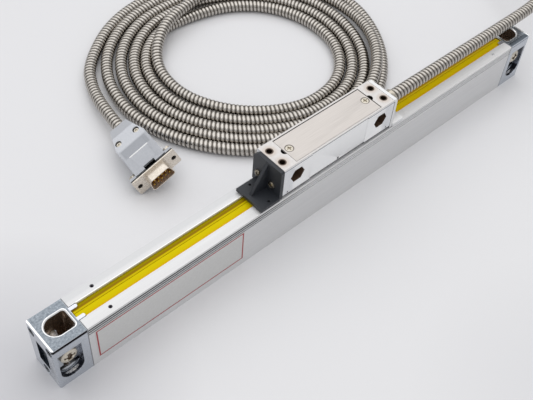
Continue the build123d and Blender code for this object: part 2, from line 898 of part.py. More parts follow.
def head_board_chips():
    """Two chips and the cable's terminal on the head's board."""
    top = board_bottom + head_board_thickness
    chips = []
    for length, width, height, along, across in chip_sizes:
        chips.append(Pos(head_offset + along, across, top + height / 2) * Box(length, width, height))
    return chips


# The reading carriage inside the profile


def face_bearing_places():
    """X of the bearings that run on the glass's face."""
    return [head_offset + side * face_bearing_spacing / 2 for side in (-1, 1)]


def edge_bearing_places():
    """X of the bearings that run on the glass's top edge."""
    return [head_offset + side * edge_bearing_spacing / 2 for side in (-1, 1)]


def reading_carriage():
    """The frame that straddles the glass: spine, bridge, rear arm, front pad and bearing lugs."""
    near = head_offset - carriage_length / 2
    far = head_offset + carriage_length / 2
    body = block(near, far, spine_front, spine_back, spine_bottom, bridge_top)
    body += block(near, far, spine_back, bridge_back, bridge_bottom, bridge_top)
    arm_near = head_offset - arm_length / 2
    arm_far = head_offset + arm_length / 2
    body += block(arm_near, arm_far, bridge_back - arm_thickness, bridge_back, arm_bottom, bridge_bottom)
    pad_near = head_offset - pad_length / 2
    pad_far = head_offset + pad_length / 2
    body += block(pad_near, pad_far, spine_back, pad_back, arm_bottom, bridge_bottom)
    clear = bearing_radius + bearing_side_gap
    for x in face_bearing_places():
        race_low = face_bearing_z - half_race
        race_high = face_bearing_z + half_race
        lug_back = face_bearing_y + bearing_pin_radius + lug_wall
        lug = (x - lug_half_width, x + lug_half_width, spine_back, lug_back)
        body += block(*lug, race_low - lug_thickness, race_low)
        body += block(*lug, race_high, race_high + lug_thickness)
        body -= rod_z(clear, race_low, race_high, x, face_bearing_y)
        body -= rod_z(bearing_pin_radius, race_low - pin_hold, race_high + pin_hold, x, face_bearing_y)
    for x in edge_bearing_places():
        front = glass_y - half_race
        back = glass_y + half_race
        body -= block(x - clear, x + clear, front, back, bridge_bottom, bridge_top)
        body -= rod_y(bearing_pin_radius, front - pin_hold, back + pin_hold, x, edge_bearing_z)
    wire_hole = wire_radius + thread_clearance
    return body - rod_z(wire_hole, bridge_top - wire_hole_depth, bridge_top, head_offset, 0)


def bearing_pins():
    """Four pins: two upright for the face bearings, two across for the edge bearings."""
    reach = half_race + pin_hold
    low = face_bearing_z - reach
    high = face_bearing_z + reach
    pins = []
    for x in face_bearing_places():
        pins.append(rod_z(bearing_pin_radius, low, high, x, face_bearing_y))
    for x in edge_bearing_places():
        pins.append(rod_y(bearing_pin_radius, glass_y - reach, glass_y + reach, x, edge_bearing_z))
    return pins


def face_bearing(x):
    """A bearing on the glass's face."""
    low = face_bearing_z - bearing_width / 2
    high = face_bearing_z + bearing_width / 2
    ring = rod_z(bearing_radius, low, high, x, face_bearing_y)
    return ring - rod_z(bearing_pin_radius + bearing_clearance, low, high, x, face_bearing_y)


def edge_bearing(x):
    """A bearing on the glass's top edge."""
    front = glass_y - bearing_width / 2
    back = glass_y + bearing_width / 2
    ring = rod_y(bearing_radius, front, back, x, edge_bearing_z)
    return ring - rod_y(bearing_pin_radius + bearing_clearance, front, back, x, edge_bearing_z)


def reading_board():
    """The photodiode board on the front pad."""
    half = pad_length / 2 - board_margin
    low = arm_bottom + board_lift
    back = pad_back + board_thickness
    return block(head_offset - half, head_offset + half, pad_back, back, low, low + board_height)


def index_grating():
    """The small grating between the reading board and the glass."""
    half = grating_length / 2
    low = arm_bottom + board_lift + (board_height - grating_height) / 2
    front = pad_back + board_thickness
    back = glass_front - grating_gap
    return block(head_offset - half, head_offset + half, front, back, low, low + grating_height)


def light_board():
    """The lamp board on the rear arm."""
    half = pad_length / 2 - board_margin
    back = bridge_back - arm_thickness
    low = arm_bottom + board_lift
    front = back - light_board_thickness
    return block(head_offset - half, head_offset + half, front, back, low, low + board_height)


# The connector


def plug_frame():
    """Where the connector lies: rolled onto its lower edge, beside the coil."""
    turned = Rot(0, 0, plug_turn) * Rot(plug_pitch, 0, 0) * Rot(0, plug_roll, 0)
    return Pos(*plug_centre) * turned


def d_outline(grow):
    """The connector's D outline, grown by a margin. Its wide side is down."""
    half_height = shell_height / 2 + grow
    wide = shell_width / 2 + grow
    narrow = wide - 2 * half_height * tan(radians(shell_slant))
    points = ((-wide, -half_height), (wide, -half_height), (narrow, half_height), (-narrow, half_height))
    face = Plane.XZ * make_face(Polyline(*points, close=True))
    return fillet(face.vertices(), shell_corner + grow)


def jack_places():
    """X of the two jack screws."""
    return [side * flange_hole_spacing / 2 for side in (-1, 1)]


def plug_shell():
    """The plated flange with its D-shaped shell."""
    half = flange_length / 2
    tall = flange_height / 2
    body = block(-half, half, 0, flange_thickness, -tall, tall)
    body = fillet(body.edges().filter_by(Axis.Y), flange_corner)
    body += extrude(d_outline(0), shell_depth, dir=(0, -1, 0))
    inside = extrude(d_outline(-shell_wall), shell_depth + flange_thickness, dir=(0, -1, 0))
    body -= Pos(0, flange_thickness, 0) * inside
    for x in jack_places():
        body -= rod_y(flange_hole_radius, 0, flange_thickness, x, 0)
    return body


def pin_places():
    """X and Z of the nine pins: five below, four above."""
    below = [((n - 2) * pin_pitch, -row_pitch / 2) for n in range(5)]
    above = [((n - 1.5) * pin_pitch, row_pitch / 2) for n in range(4)]
    return below + above


def plug_insulator():
    """The insulating body: a back plate behind the flange and a block inside the shell."""
    half = flange_length / 2 - back_plate_inset
    tall = flange_height / 2 - back_plate_inset
    body = block(-half, half, flange_thickness, hood_front, -tall, tall)
    face = d_outline(-shell_wall - insulator_gap)
    body += Pos(0, hood_front, 0) * extrude(face, hood_front - insulator_front, dir=(0, -1, 0))
    for x in jack_places():
        body -= rod_y(flange_hole_radius, flange_thickness, hood_front, x, 0)
    for x, z in pin_places():
        body -= rod_y(pin_radius, insulator_front, hood_front, x, z)
    return body


def plug_pins():
    """Nine contact pins."""
    pins = []
    for x, z in pin_places():
        pin = rod_y(pin_radius, insulator_front - pin_length, hood_front + pin_tail, x, z)
        pins.append(fillet(pin.edges().sort_by(Axis.Y)[0], pin_radius * pin_round_share))
    return pins


def hood_half(side):
    """One half of the hollow metal hood: side is 1 for the upper and -1 for the lower."""
    outer = side * hood_thickness / 2
    split = side * hood_split_gap
    right = (
        (ear_length / 2, hood_front),
        (ear_length / 2, ear_back),
        (hood_body_half, ear_back),
        (hood_body_half, hood_body_end),
        (hood_shoulder_half, hood_shoulder_end),
        (hood_end_half, hood_end),
    )
    left = tuple((-x, y) for x, y in reversed(right))
    body = prism_z(right + left, min(split, outer), max(split, outer))
    for hand in (-1, 1):
        spare = (hand * hood_body_half, hand * ear_length, hood_front, ear_back)
        body -= block(*spare, side * ear_height / 2, 2 * outer)
    nose = hood_end - hood_nose_length
    nose_end = outer - side * hood_nose_drop
    slope = ((nose, outer), (hood_end, nose_end), (hood_end, 2 * outer), (nose, 2 * outer))
    body -= prism_x(slope, -ear_length, ear_length)
    room_half = hood_body_half - hood_wall
    room_back = hood_shoulder_end - hood_wall
    neck_half = hood_shoulder_half - hood_wall - hood_pillar
    inside = (
        (room_half, hood_front),
        (room_half, hood_body_end - hood_wall - hood_pillar),
        (neck_half, room_back),
        (-neck_half, room_back),
        (-room_half, hood_body_end - hood_wall - hood_pillar),
        (-room_half, hood_front),
    )
    ceiling = side * (hood_thickness / 2 - hood_wall)
    body -= prism_z(inside, min(split, ceiling), max(split, ceiling))
    body -= rod_y(inner_cable_radius + cable_clearance, hood_front, hood_end, 0, 0)
    for hand in (-1, 1):
        hole = hood_screw_radius + thread_clearance
        floor = side * (hood_thickness / 2 - hood_screw_floor)
        body -= rod_z(hole, split, floor, hand * hood_screw_x, hood_screw_y)
    for x in jack_places():
        body -= rod_y(jack_screw_shank_radius + bearing_clearance, hood_front, ear_back, x, 0)
        head_back = ear_back + jack_screw_gap + jack_screw_head_length + jack_screw_side_gap
        body -= rod_y(jack_screw_head_radius + jack_screw_side_gap, ear_back, head_back, x, 0)
    if side > 0:
        for hand in (-1, 1):
            recess = outer - hood_screw_recess_depth
            body -= rod_z(hood_screw_recess_radius, recess, outer, hand * hood_screw_x, hood_screw_y)
        half_notch = hood_notch_width / 2
        notch_back = hood_front + hood_notch_depth
        body -= block(-half_notch, half_notch, hood_front, notch_back, shell_height / 2, outer)
        half_panel = hood_panel_width / 2
        panel_bottom = outer - hood_panel_depth
        body -= block(-half_panel, half_panel, hood_panel_from, hood_panel_to, panel_bottom, outer)
    return body


def hood_screws():
    """Two screws that clamp the hood's halves."""
    seat = hood_thickness / 2 - hood_screw_recess_depth
    length = seat + hood_thickness / 2 - hood_screw_floor
    head_radius = hood_screw_recess_radius - screw_head_clearance
    screw = pan_screw(hood_screw_radius, length, head_radius, hood_screw_head_height)
    return [Pos(hand * hood_screw_x, hood_screw_y, seat) * screw for hand in (-1, 1)]


def jack_screw(x):
    """One slotted jack screw: its head stands behind the hood's ear."""
    front = ear_back + jack_screw_gap
    back = front + jack_screw_head_length
    head = rod_y(jack_screw_head_radius, front, back, x, 0)
    head = chamfer(head.edges().filter_by(GeomType.CIRCLE).sort_by(Axis.Y)[-1], jack_screw_head_chamfer)
    half_slot_width = jack_screw_slot_width / 2
    slot = (x - half_slot_width, x + half_slot_width, back - jack_screw_slot_depth, back)
    head -= block(*slot, -jack_screw_head_radius, jack_screw_head_radius)
    return head + rod_y(jack_screw_shank_radius, jack_screw_tip, front, x, 0)


def plug_cable():
    """The bare cable inside the hood."""
    return rod_y(inner_cable_radius, hood_end - plug_cable_length, hood_end, 0, 0)


# The hose


def arc_radii(points):
    """The radius of each corner of a route: as large as its two runs allow."""
    radii = []
    for before, here, after in zip(points, points[1:], points[2:]):
        first = Vector(*here) - Vector(*before)
        second = Vector(*after) - Vector(*here)
        turn = radians(first.get_angle(second))
        radii.append(arc_share * min(first.length, second.length) / tan(turn / 2))
    return radii


def hose_tube(name, points):
    """A plain tube along a route of straight runs joined by arcs."""
    radii = arc_radii(points)
    path = FilletPolyline(*points, radius=radii)
    start = Plane(origin=path @ 0, z_dir=path % 0)
    tube = sweep(start * Circle(hose_radius), path=path)
    expected = pi * hose_radius**2 * path.length
    print(name, "radii", [round(radius, 1) for radius in radii])
    print(name, "length", round(path.length, 1), "volume share", round(tube.volume / expected, 4))
    return tube


def hose_lead():
    """From the gland over the bar's end, round behind it and up over the coil."""
    return hose_tube("hose_lead", ((gland_end, 0.0, gland_z),) + lead_route)


def hose_coil():
    """The outer shape of the flat coil."""
    ring = Pos(*coil_centre, 0) * Ellipse(coil_half_length, coil_half_width)
    eye = Pos(*coil_eye_centre, 0) * Circle(coil_eye_radius)
    return extrude(ring - eye, hose_diameter)


def hose_tail():
    """From the hood, straight out and round to the coil's outermost turn."""
    frame = plug_frame()
    start = (frame * Pos(0, hood_end, 0)).position
    first = (frame * Pos(0, hood_end + tail_first_run, 0)).position
    return hose_tube("hose_tail", (tuple(start), tuple(first)) + tail_route)


def write(name, shape):
    """Write one sub-part to its own file."""
    if isinstance(shape, list):
        shape = Compound(children=shape)
    export_step(shape, os.path.join("parts", name + ".step"))


def bar_parts():
    """The pieces that stay with the bar."""
    near_block = end_block()
    near_gasket = end_gasket()
    near_stop = travel_stop()
    return {
        "scale_housing": scale_housing(),
        "seal_lip_front": seal_lip(-1),
        "seal_lip_rear": seal_lip(1),
        "end_block_near": near_block,
        "end_block_far": mirrored(near_block),
        "end_gasket_near": near_gasket,
        "end_gasket_far": mirrored(near_gasket),
        "end_block_screws": end_block_screws(),
        "mounting_screws": mounting_screws(),
        "rail_set_screws": rail_set_screws(),
        "travel_stop_near": near_stop,
        "travel_stop_far": mirrored(near_stop),
        "glass_scale": glass_scale(),
        "glass_bonding_strip": glass_bonding_strip(),
        "side_label": side_label(),
    }


def head_parts():
    """The reading head and what it carries inside the bar."""
    near_face, far_face = face_bearing_places()
    near_edge, far_edge = edge_bearing_places()
    return {
        "head_housing": head_housing(),
        "head_cover_plate": head_cover_plate(),
        "cover_screws": cover_screws(),
        "near_end_bracket": near_end_bracket(),
        "near_bracket_screws": near_bracket_screws(),
        "far_bracket_gasket": far_bracket_gasket(),
        "far_end_bracket": far_end_bracket(),
        "far_bracket_screws": far_bracket_screws(),
        "cable_gland": cable_gland(),
        "inner_cable": inner_cable(),
        "coupling_blade": coupling_blade(),
        "blade_screws": blade_screws(),
        "coupling_wire": coupling_wire(),
        "signal_ribbon": signal_ribbon(),
        "head_circuit_board": head_circuit_board(),
        "head_board_chips": head_board_chips(),
        "reading_carriage": reading_carriage(),
        "bearing_pins": bearing_pins(),
        "face_bearing_near": face_bearing(near_face),
        "face_bearing_far": face_bearing(far_face),
        "edge_bearing_near": edge_bearing(near_edge),
        "edge_bearing_far": edge_bearing(far_edge),
        "reading_board": reading_board(),
        "index_grating": index_grating(),
        "light_board": light_board(),
    }


def cable_parts():
    """The hose and its connector."""
    frame = plug_frame()
    left_jack, right_jack = jack_places()
    return {
        "plug_shell": frame * plug_shell(),
        "plug_insulator": frame * plug_insulator(),
        "plug_pins": [frame * pin for pin in plug_pins()],
        "hood_upper": frame * hood_half(1),
        "hood_lower": frame * hood_half(-1),
        "hood_screws": [frame * screw for screw in hood_screws()],
        "jack_screw_left": frame * jack_screw(left_jack),
        "jack_screw_right": frame * jack_screw(right_jack),
        "plug_cable": frame * plug_cable(),
        "hose_lead": hose_lead(),
        "hose_coil": hose_coil(),
        "hose_tail": hose_tail(),
    }


def main():
    """Build every sub-part and write it."""
    os.makedirs("parts", exist_ok=True)
    for parts in (bar_parts(), head_parts(), cable_parts()):
        for name, shape in parts.items():
            write(name, shape)


if __name__ == "__main__":
    main()
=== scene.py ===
"""Linear glass scale: finishes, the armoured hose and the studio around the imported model.

Lengths are in metres in the part's own frame: the origin is the bottom centre of the bar, +X runs along it
towards the cable's side of the head, +Y points to the back and +Z is up. Sizes that read better in
millimetres end in _mm and are multiplied by MM.
"""

from __future__ import annotations

import logging
import math
from dataclasses import dataclass, field, replace
from enum import Enum

import bmesh
import bpy
import numpy as np
from mathutils import Euler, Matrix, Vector

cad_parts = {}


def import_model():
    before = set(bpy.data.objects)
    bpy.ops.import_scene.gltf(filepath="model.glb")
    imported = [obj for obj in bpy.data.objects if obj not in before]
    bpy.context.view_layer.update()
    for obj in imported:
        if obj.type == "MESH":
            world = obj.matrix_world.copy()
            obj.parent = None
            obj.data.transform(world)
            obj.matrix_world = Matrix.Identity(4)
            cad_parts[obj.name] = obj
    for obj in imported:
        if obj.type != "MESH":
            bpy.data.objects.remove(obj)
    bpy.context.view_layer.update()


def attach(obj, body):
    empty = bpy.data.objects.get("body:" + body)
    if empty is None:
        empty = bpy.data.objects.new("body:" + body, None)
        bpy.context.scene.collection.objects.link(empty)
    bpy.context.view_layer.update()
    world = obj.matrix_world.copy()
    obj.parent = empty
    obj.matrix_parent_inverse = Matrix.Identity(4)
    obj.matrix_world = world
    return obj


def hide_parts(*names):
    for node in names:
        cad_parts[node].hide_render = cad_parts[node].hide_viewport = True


MM = 0.001
LOG = logging.getLogger("glass_scale")
Tree = bpy.types.NodeTree
Socket = bpy.types.NodeSocket
Given = dict[str | int, object]
Pair = tuple[float, float]
Triple = tuple[float, float, float]
# The grain noise's octaves, and the range that its height keeps to on most of a surface
GRAIN_DETAIL = 3.0
GRAIN_RANGE = (0.25, 0.75)
# In a copied CAD mesh, points this near are one, faces this flat are joined and edges this sharp stay sharp
WELD = 2e-6
FLAT_DEGREES = 0.6
SHARP_DEGREES = 32.0


def linear(code: str) -> tuple[float, float, float, float]:
    """Turns an sRGB hex code into a linear colour.

    Args:
        code: six hex digits after a hash sign.

    Returns:
        Red, green, blue and an alpha of 1.
    """
    parts = (int(code[i : i + 2], 16) / 255 for i in (1, 3, 5))
    red, green, blue = (p / 12.92 if p <= 0.04045 else ((p + 0.055) / 1.055) ** 2.4 for p in parts)
    return red, green, blue, 1.0


def add_node(tree: Tree, kind: str, links: Given | None = None, **settings: object) -> bpy.types.Node:
    """Adds one node to a tree, with its settings, values and links.

    Args:
        tree: the node tree.
        kind: the node's type name.
        links: an input's name or index, to a socket to link from or a value to set.
        **settings: the node's own properties.

    Returns:
        The new node.
    """
    made = tree.nodes.new(kind)
    for name, value in settings.items():
        setattr(made, name, value)
    for name, value in (links or {}).items():
        socket = made.inputs[name]
        if isinstance(value, Socket):
            tree.links.new(value, socket)
        else:
            socket.default_value = value
    return made


class Pattern(Enum):
    """How a surface was made, as the stretch of its grain along X, Y and Z."""

    EVEN = (1.0, 1.0, 1.0)
    DRAWN = (0.015, 1.0, 1.0)
    BRUSHED = (0.03, 1.0, 1.0)
    ROLLED = (0.3, 0.3, 1.0)


@dataclass(frozen=True)
class Lie:
    """The origin and the turned axes that a finish's marks are given in."""

    origin_mm: Triple = (0.0, 0.0, 0.0)
    turn_degrees: Triple = (0.0, 0.0, 0.0)


@dataclass(frozen=True)
class Mark:
    """A region with its own colours: a box or an ellipsoid with a soft rim, on both sides of x or one."""

    colour: str
    second: str
    centre_mm: Triple
    half_mm: Triple
    soft: float = 0.02
    rounded: bool = False
    share: float = 1.0
    both: bool = True

    def reach(self, tree: Tree, point: Socket) -> Socket:
        """Measures how far a point is out of the region.

        Args:
            tree: the material's tree.
            point: the point, in the finish's own frame.

        Returns:
            0 at the region's centre and 1 at its rim.
        """
        centre = tuple(value * MM for value in self.centre_mm)
        half = tuple(value * MM for value in self.half_mm)
        away = add_node(tree, "ShaderNodeVectorMath", {0: point, 1: centre}, operation="SUBTRACT")
        scaled = add_node(tree, "ShaderNodeVectorMath", {0: away.outputs[0], 1: half}, operation="DIVIDE")
        if self.rounded:
            distance = add_node(tree, "ShaderNodeVectorMath", {0: scaled.outputs[0]}, operation="LENGTH")
            return distance.outputs["Value"]
        sides = add_node(tree, "ShaderNodeVectorMath", {0: scaled.outputs[0]}, operation="ABSOLUTE")
        x, y, z = add_node(tree, "ShaderNodeSeparateXYZ", {0: sides.outputs[0]}).outputs
        wider = add_node(tree, "ShaderNodeMath", {0: x, 1: y}, operation="MAXIMUM")
        return add_node(tree, "ShaderNodeMath", {0: wider.outputs[0], 1: z}, operation="MAXIMUM").outputs[0]


def on_both_sides(mark: Mark) -> tuple[Mark, Mark]:
    """Repeats a mark at the other side of y.

    Args:
        mark: the mark.

    Returns:
        The mark and its mirror image.
    """
    x, y, z = mark.centre_mm
    return mark, replace(mark, centre_mm=(x, -y, z))


@dataclass(frozen=True)
class Finish:
    """A real material and how its surface was made.

    The grain mixes the two colours. gloss is how strongly a surface that isn't metal mirrors, and stock names
    the slot where several finishes share one.
    """

    name: str
    colour: str
    second: str
    metallic: float
    roughness: Pair
    grain_mm: float
    relief_mm: float
    pattern: Pattern = Pattern.EVEN
    transmission: float = 0.0
    marks: tuple[Mark, ...] = ()
    lie: Lie = Lie()
    stock: str = ""
    gloss: float = 0.5

    def slot(self) -> str:
        """Names the slot that this finish belongs to: its stock, or else its own name."""
        return self.stock or self.name

    def marked(self, tree: Tree, place: Socket, height: Socket, colour: Socket) -> Socket:
        """Lays the marks over a colour.

        Args:
            tree: the material's tree.
            place: the point on the piece.
            height: the grain, which also mixes each mark's two colours.
            colour: the colour under the marks.

        Returns:
            The colour with its marks.
        """
        if not self.marks:
            return colour
        origin = tuple(value * MM for value in self.lie.origin_mm)
        turn = tuple(math.radians(value) for value in self.lie.turn_degrees)
        moved = {"Vector": place, "Location": origin, "Rotation": turn}
        own = add_node(tree, "ShaderNodeMapping", moved, vector_type="TEXTURE").outputs[0]
        folded = add_node(tree, "ShaderNodeVectorMath", {0: own}, operation="ABSOLUTE").outputs[0]
        across = add_node(tree, "ShaderNodeSeparateXYZ", {0: folded}).outputs[0]
        kept = add_node(tree, "ShaderNodeSeparateXYZ", {0: own}).outputs
        mirrored = add_node(tree, "ShaderNodeCombineXYZ", {0: across, 1: kept[1], 2: kept[2]}).outputs[0]
        for mark in self.marks:
            reach = mark.reach(tree, mirrored if mark.both else own)
            rim = {0: reach, 1: 1.0, 2: 1.0 + mark.soft, 3: mark.share, 4: 0.0}
            fade = add_node(tree, "ShaderNodeMapRange", rim)
            inks = {0: height, 6: linear(mark.colour), 7: linear(mark.second)}
            ink = add_node(tree, "ShaderNodeMix", inks, data_type="RGBA")
            layers = {0: fade.outputs[0], 6: colour, 7: ink.outputs[2]}
            colour = add_node(tree, "ShaderNodeMix", layers, data_type="RGBA").outputs[2]
        return colour

    def shader(self) -> tuple[Tree, bpy.types.Node, Socket, bpy.types.Material]:
        """Builds the common part: a noise of the grain's real size drives colour, roughness and relief.

        Returns:
            The tree, its shader, the colour and the material.
        """
        made = bpy.data.materials.new(self.name)
        made.use_nodes = True
        tree = made.node_tree
        shader = tree.nodes["Principled BSDF"]
        shader.inputs["Metallic"].default_value = self.metallic
        shader.inputs["Specular IOR Level"].default_value = self.gloss
        shader.inputs["Transmission Weight"].default_value = self.transmission
        place = add_node(tree, "ShaderNodeTexCoord").outputs["Object"]
        stretched = add_node(tree, "ShaderNodeMapping", {"Vector": place, "Scale": self.pattern.value})
        grain = {"Vector": stretched.outputs[0], "Scale": 1 / (self.grain_mm * MM), "Detail": GRAIN_DETAIL}
        height = add_node(tree, "ShaderNodeTexNoise", grain).outputs[0]
        colours = {0: height, 6: linear(self.colour), 7: linear(self.second)}
        plain = add_node(tree, "ShaderNodeMix", colours, data_type="RGBA").outputs[2]
        colour = self.marked(tree, place, height, plain)
        low, high = self.roughness
        sheen = {0: height, 1: GRAIN_RANGE[0], 2: GRAIN_RANGE[1], 3: low, 4: high}
        sheened = add_node(tree, "ShaderNodeMapRange", sheen)
        relief = add_node(tree, "ShaderNodeBump", {"Height": height, "Distance": self.relief_mm * MM})
        tree.links.new(colour, shader.inputs["Base Color"])
        tree.links.new(sheened.outputs[0], shader.inputs["Roughness"])
        tree.links.new(relief.outputs[0], shader.inputs["Normal"])
        return tree, shader, colour, made

    def material(self) -> bpy.types.Material:
        """Builds the plain material of this finish."""
        return self.shader()[3]


@dataclass(frozen=True)
class GroovedSteel(Finish):
    """Interlocked strip, with painted shade in its grooves, which hold less light than its crests."""

    # The painted shade's colour where a groove is deepest
    dark: str = "#4A433B"
    attribute: str = "groove"

    def material(self) -> bpy.types.Material:
        """Builds the strip's steel, with painted shade darkening it by the tube's own groove attribute.

        Returns:
            The material.
        """
        tree, shader, colour, made = self.shader()
        depth = add_node(tree, "ShaderNodeAttribute", attribute_name=self.attribute).outputs["Fac"]
        mixed = add_node(tree, "ShaderNodeMix", {0: depth, 6: colour, 7: linear(self.dark)}, data_type="RGBA")
        tree.links.new(mixed.outputs[2], shader.inputs["Base Color"])
        return made


# The connector's own frame: X along its flange, -Y out of its shell
PLUG = Lie((-67.3, 62.0, 12.7), (-4.30, -24.94, -5.78))
# The head's middle along the bar
HEAD = Lie((3.0, 0.0, 0.0))
# Half lengths that carry a mark past both ends of the bar or the head, in millimetres
WHOLE_BAR = 200.0
WHOLE_HEAD = 43.0
# The heights of the flutes along the bar's sides, in millimetres
UPPER_FLUTE, MIDDLE_FLUTE, LOWER_FLUTE = 31.85, 30.15, 28.45

# Anodised extrusion: an etched, silky white-grey with faint draw lines, and painted shade in the flutes that
# deepens towards the near end by the camera. The front face is painted a touch darker than the top as painted
# shade, a painted highlight runs along the rear rail's inner edge and painted shade lies in the gaps between
# the rails and the end blocks' fingers
ANODISED = Finish(
    "anodised_aluminium", "#EAEAEA", "#DADADB",
    metallic=0.25, roughness=(0.36, 0.48), grain_mm=0.8, relief_mm=0.004, pattern=Pattern.DRAWN,
    marks=(
        *(
            Mark("#B0B2B5", "#BCBEC1", (0.0, 0.0, height), (WHOLE_BAR, 20.0, 0.38))
            for height in (UPPER_FLUTE, MIDDLE_FLUTE, LOWER_FLUTE)
        ),
        Mark(
            "#53575B", "#66696D", (-125.0, 0.0, UPPER_FLUTE), (60.0, 20.0, 0.42),
            soft=0.8, share=0.95, both=False,
        ),
        Mark(
            "#5C6064", "#6E7175", (-125.0, 0.0, MIDDLE_FLUTE), (60.0, 20.0, 0.42),
            soft=0.8, share=0.85, both=False,
        ),
        Mark(
            "#686C70", "#7A7D81", (-125.0, 0.0, LOWER_FLUTE), (60.0, 20.0, 0.38),
            soft=0.8, share=0.6, both=False,
        ),
        Mark("#DFDFE0", "#D4D4D5", (0.0, -11.0, 13.5), (WHOLE_BAR, 0.5, 14.0), share=0.9),
        Mark("#CFD0D2", "#D8D9DA", (0.0, 9.4, 34.0), (WHOLE_BAR, 1.6, 0.3), soft=0.9, share=0.8),
        Mark("#FFFFFF", "#FFFFFF", (0.0, 4.7, 33.9), (158.5, 0.3, 0.6), soft=0.3),
        *on_both_sides(Mark("#26262A", "#303034", (160.9, 4.55, 34.0), (2.2, 0.22, 0.4))),
    ),
)
# Chrome over a zinc casting: painted highlights along its edges and round the pocket's rim, a clouded
# blue-grey top with a dark streak along the far block's front, brown down the pocket, and painted shade in
# the near block's front groove and in the recess of each end face. In the front counterbore painted shade
# darkens the walls, most near the bottom, a painted shadow lies where the floor meets a wall, and the lamp's
# glint is painted on its floor
CHROMED = Finish(
    "chromed_zinc", "#CDD1D8", "#B4BAC2",
    metallic=0.75, roughness=(0.16, 0.30), grain_mm=1.1, relief_mm=0.004,
    marks=(
        Mark("#36424E", "#B6BEC6", (172.5, 0.0, 34.0), (9.3, 10.9, 0.03)),
        Mark("#454D55", "#5A626A", (172.5, -9.2, 34.0), (8.4, 1.2, 0.03), soft=0.3, both=False),
        Mark("#FFFFFF", "#F4F5F6", (169.4, 0.0, 34.0), (3.2, 6.3, 0.35)),
        Mark("#FFFFFF", "#F4F5F6", (168.4, 0.0, 34.0), (4.2, 4.7, 0.35)),
        *on_both_sides(Mark("#FFFFFF", "#F4F5F6", (166.3, 4.2, 34.0), (2.1, 2.1, 1.0), rounded=True)),
        Mark("#FFFFFF", "#F4F5F6", (172.5, 0.0, 34.0), (6.35, 6.35, 1.0), rounded=True),
        Mark("#FFFFFF", "#F4F5F6", (171.6, 0.0, 33.5), (7.3, 6.3, 0.44)),
        Mark("#FFFFFF", "#F0F2F4", (181.6, 0.0, 34.0), (0.55, 11.1, 0.35)),
        Mark("#E6E8F0", "#D6D9E2", (160.9, 0.0, 33.7), (2.3, 4.45, 0.4)),
        Mark("#6B594A", "#A8937F", (171.5, 0.0, 20.0), (6.75, 5.75, 13.25)),
        Mark("#101114", "#17191C", (-172.5, -11.0, 32.45), (10.0, 1.4, 0.95), both=False),
        Mark("#1E242C", "#4E5762", (181.1, 0.0, 17.0), (0.84, 4.6, 8.1)),
        Mark("#7C818E", "#9CA1AD", (173.5, -9.1, 15.6), (6.6, 1.72, 11.1)),
        Mark("#2A2C33", "#42454E", (173.5, -9.1, 7.2), (6.6, 1.72, 2.7)),
        Mark("#121317", "#1C1D21", (173.5, -7.2, 9.6), (5.8, 0.2, 1.3), soft=0.1),
        Mark("#FFFFFF", "#FFFFFF", (173.0, -8.7, 5.4), (3.4, 0.75, 1.5), soft=0.3, rounded=True),
    ),
)
# Cast polyurethane lip: smooth and slightly waxy, with painted shade in a warmer orange where it meets the
# rail, and warmer towards the far end, away from the camera
LIP = Finish(
    "yellow_polyurethane", "#DECC00", "#D6BE00",
    metallic=0.0, roughness=(0.40, 0.52), grain_mm=1.5, relief_mm=0.004, pattern=Pattern.DRAWN, gloss=0.05,
    marks=(
        Mark("#D8A200", "#E0A400", (0.0, -4.5, 33.0), (WHOLE_BAR, 1.0, 3.0), soft=0.9, share=0.7),
        Mark("#D09A00", "#D8A400", (130.0, 0.0, 33.0), (60.0, 10.0, 5.0), soft=0.8, share=0.25, both=False),
    ),
)
# The rear lip of the same stock, painted olive as shade from the rail, with a darker painted shade in the
# fold beside the blade's path and its own yellow left along its inner edge
SHADED_LIP = Finish(
    "shaded_polyurethane", "#A69600", "#988600",
    metallic=0.0, roughness=(0.34, 0.46), grain_mm=1.5, relief_mm=0.004, pattern=Pattern.DRAWN,
    stock="yellow_polyurethane", gloss=0.05,
    marks=(
        Mark("#8A6A00", "#9C7810", (0.0, 2.0, 33.0), (WHOLE_BAR, 0.55, 3.0), soft=0.7, share=0.9),
        Mark("#D2C000", "#CCB400", (0.0, 0.0, 33.0), (WHOLE_BAR, 1.1, 3.0), soft=0.4),
        Mark("#C89A00", "#D0A000", (130.0, 0.0, 33.0), (60.0, 10.0, 5.0), soft=0.8, share=0.25, both=False),
    ),
)
# Moulded nitrile rubber: matt, with a fine skin
GASKET = Finish(
    "gasket_rubber", "#161616", "#1F1F1F",
    metallic=0.0, roughness=(0.60, 0.75), grain_mm=0.6, relief_mm=0.010,
)
# The end gaskets of the same stock, pressed between the metal, in grey
END_GASKET = Finish(
    "end_gasket_rubber", "#86888C", "#7B7D81",
    metallic=0.0, roughness=(0.60, 0.75), grain_mm=0.6, relief_mm=0.010, stock="gasket_rubber",
)
# Bright zinc plate on rolled and headed screws: a slightly yellow mirror
ZINC = Finish(
    "zinc_plated_steel", "#E0DBD0", "#B3AA9A",
    metallic=1.0, roughness=(0.16, 0.30), grain_mm=0.5, relief_mm=0.006,
)
# The same plate in shade, black down the end blocks' counterbores
SHADED_ZINC = Finish(
    "shaded_zinc", "#B4AB9A", "#4A453D",
    metallic=1.0, roughness=(0.20, 0.34), grain_mm=0.9, relief_mm=0.006, stock="zinc_plated_steel",
    marks=(Mark("#101214", "#1C1E21", (181.0, 0.0, 17.0), (4.0, 12.0, 18.0)),),
)
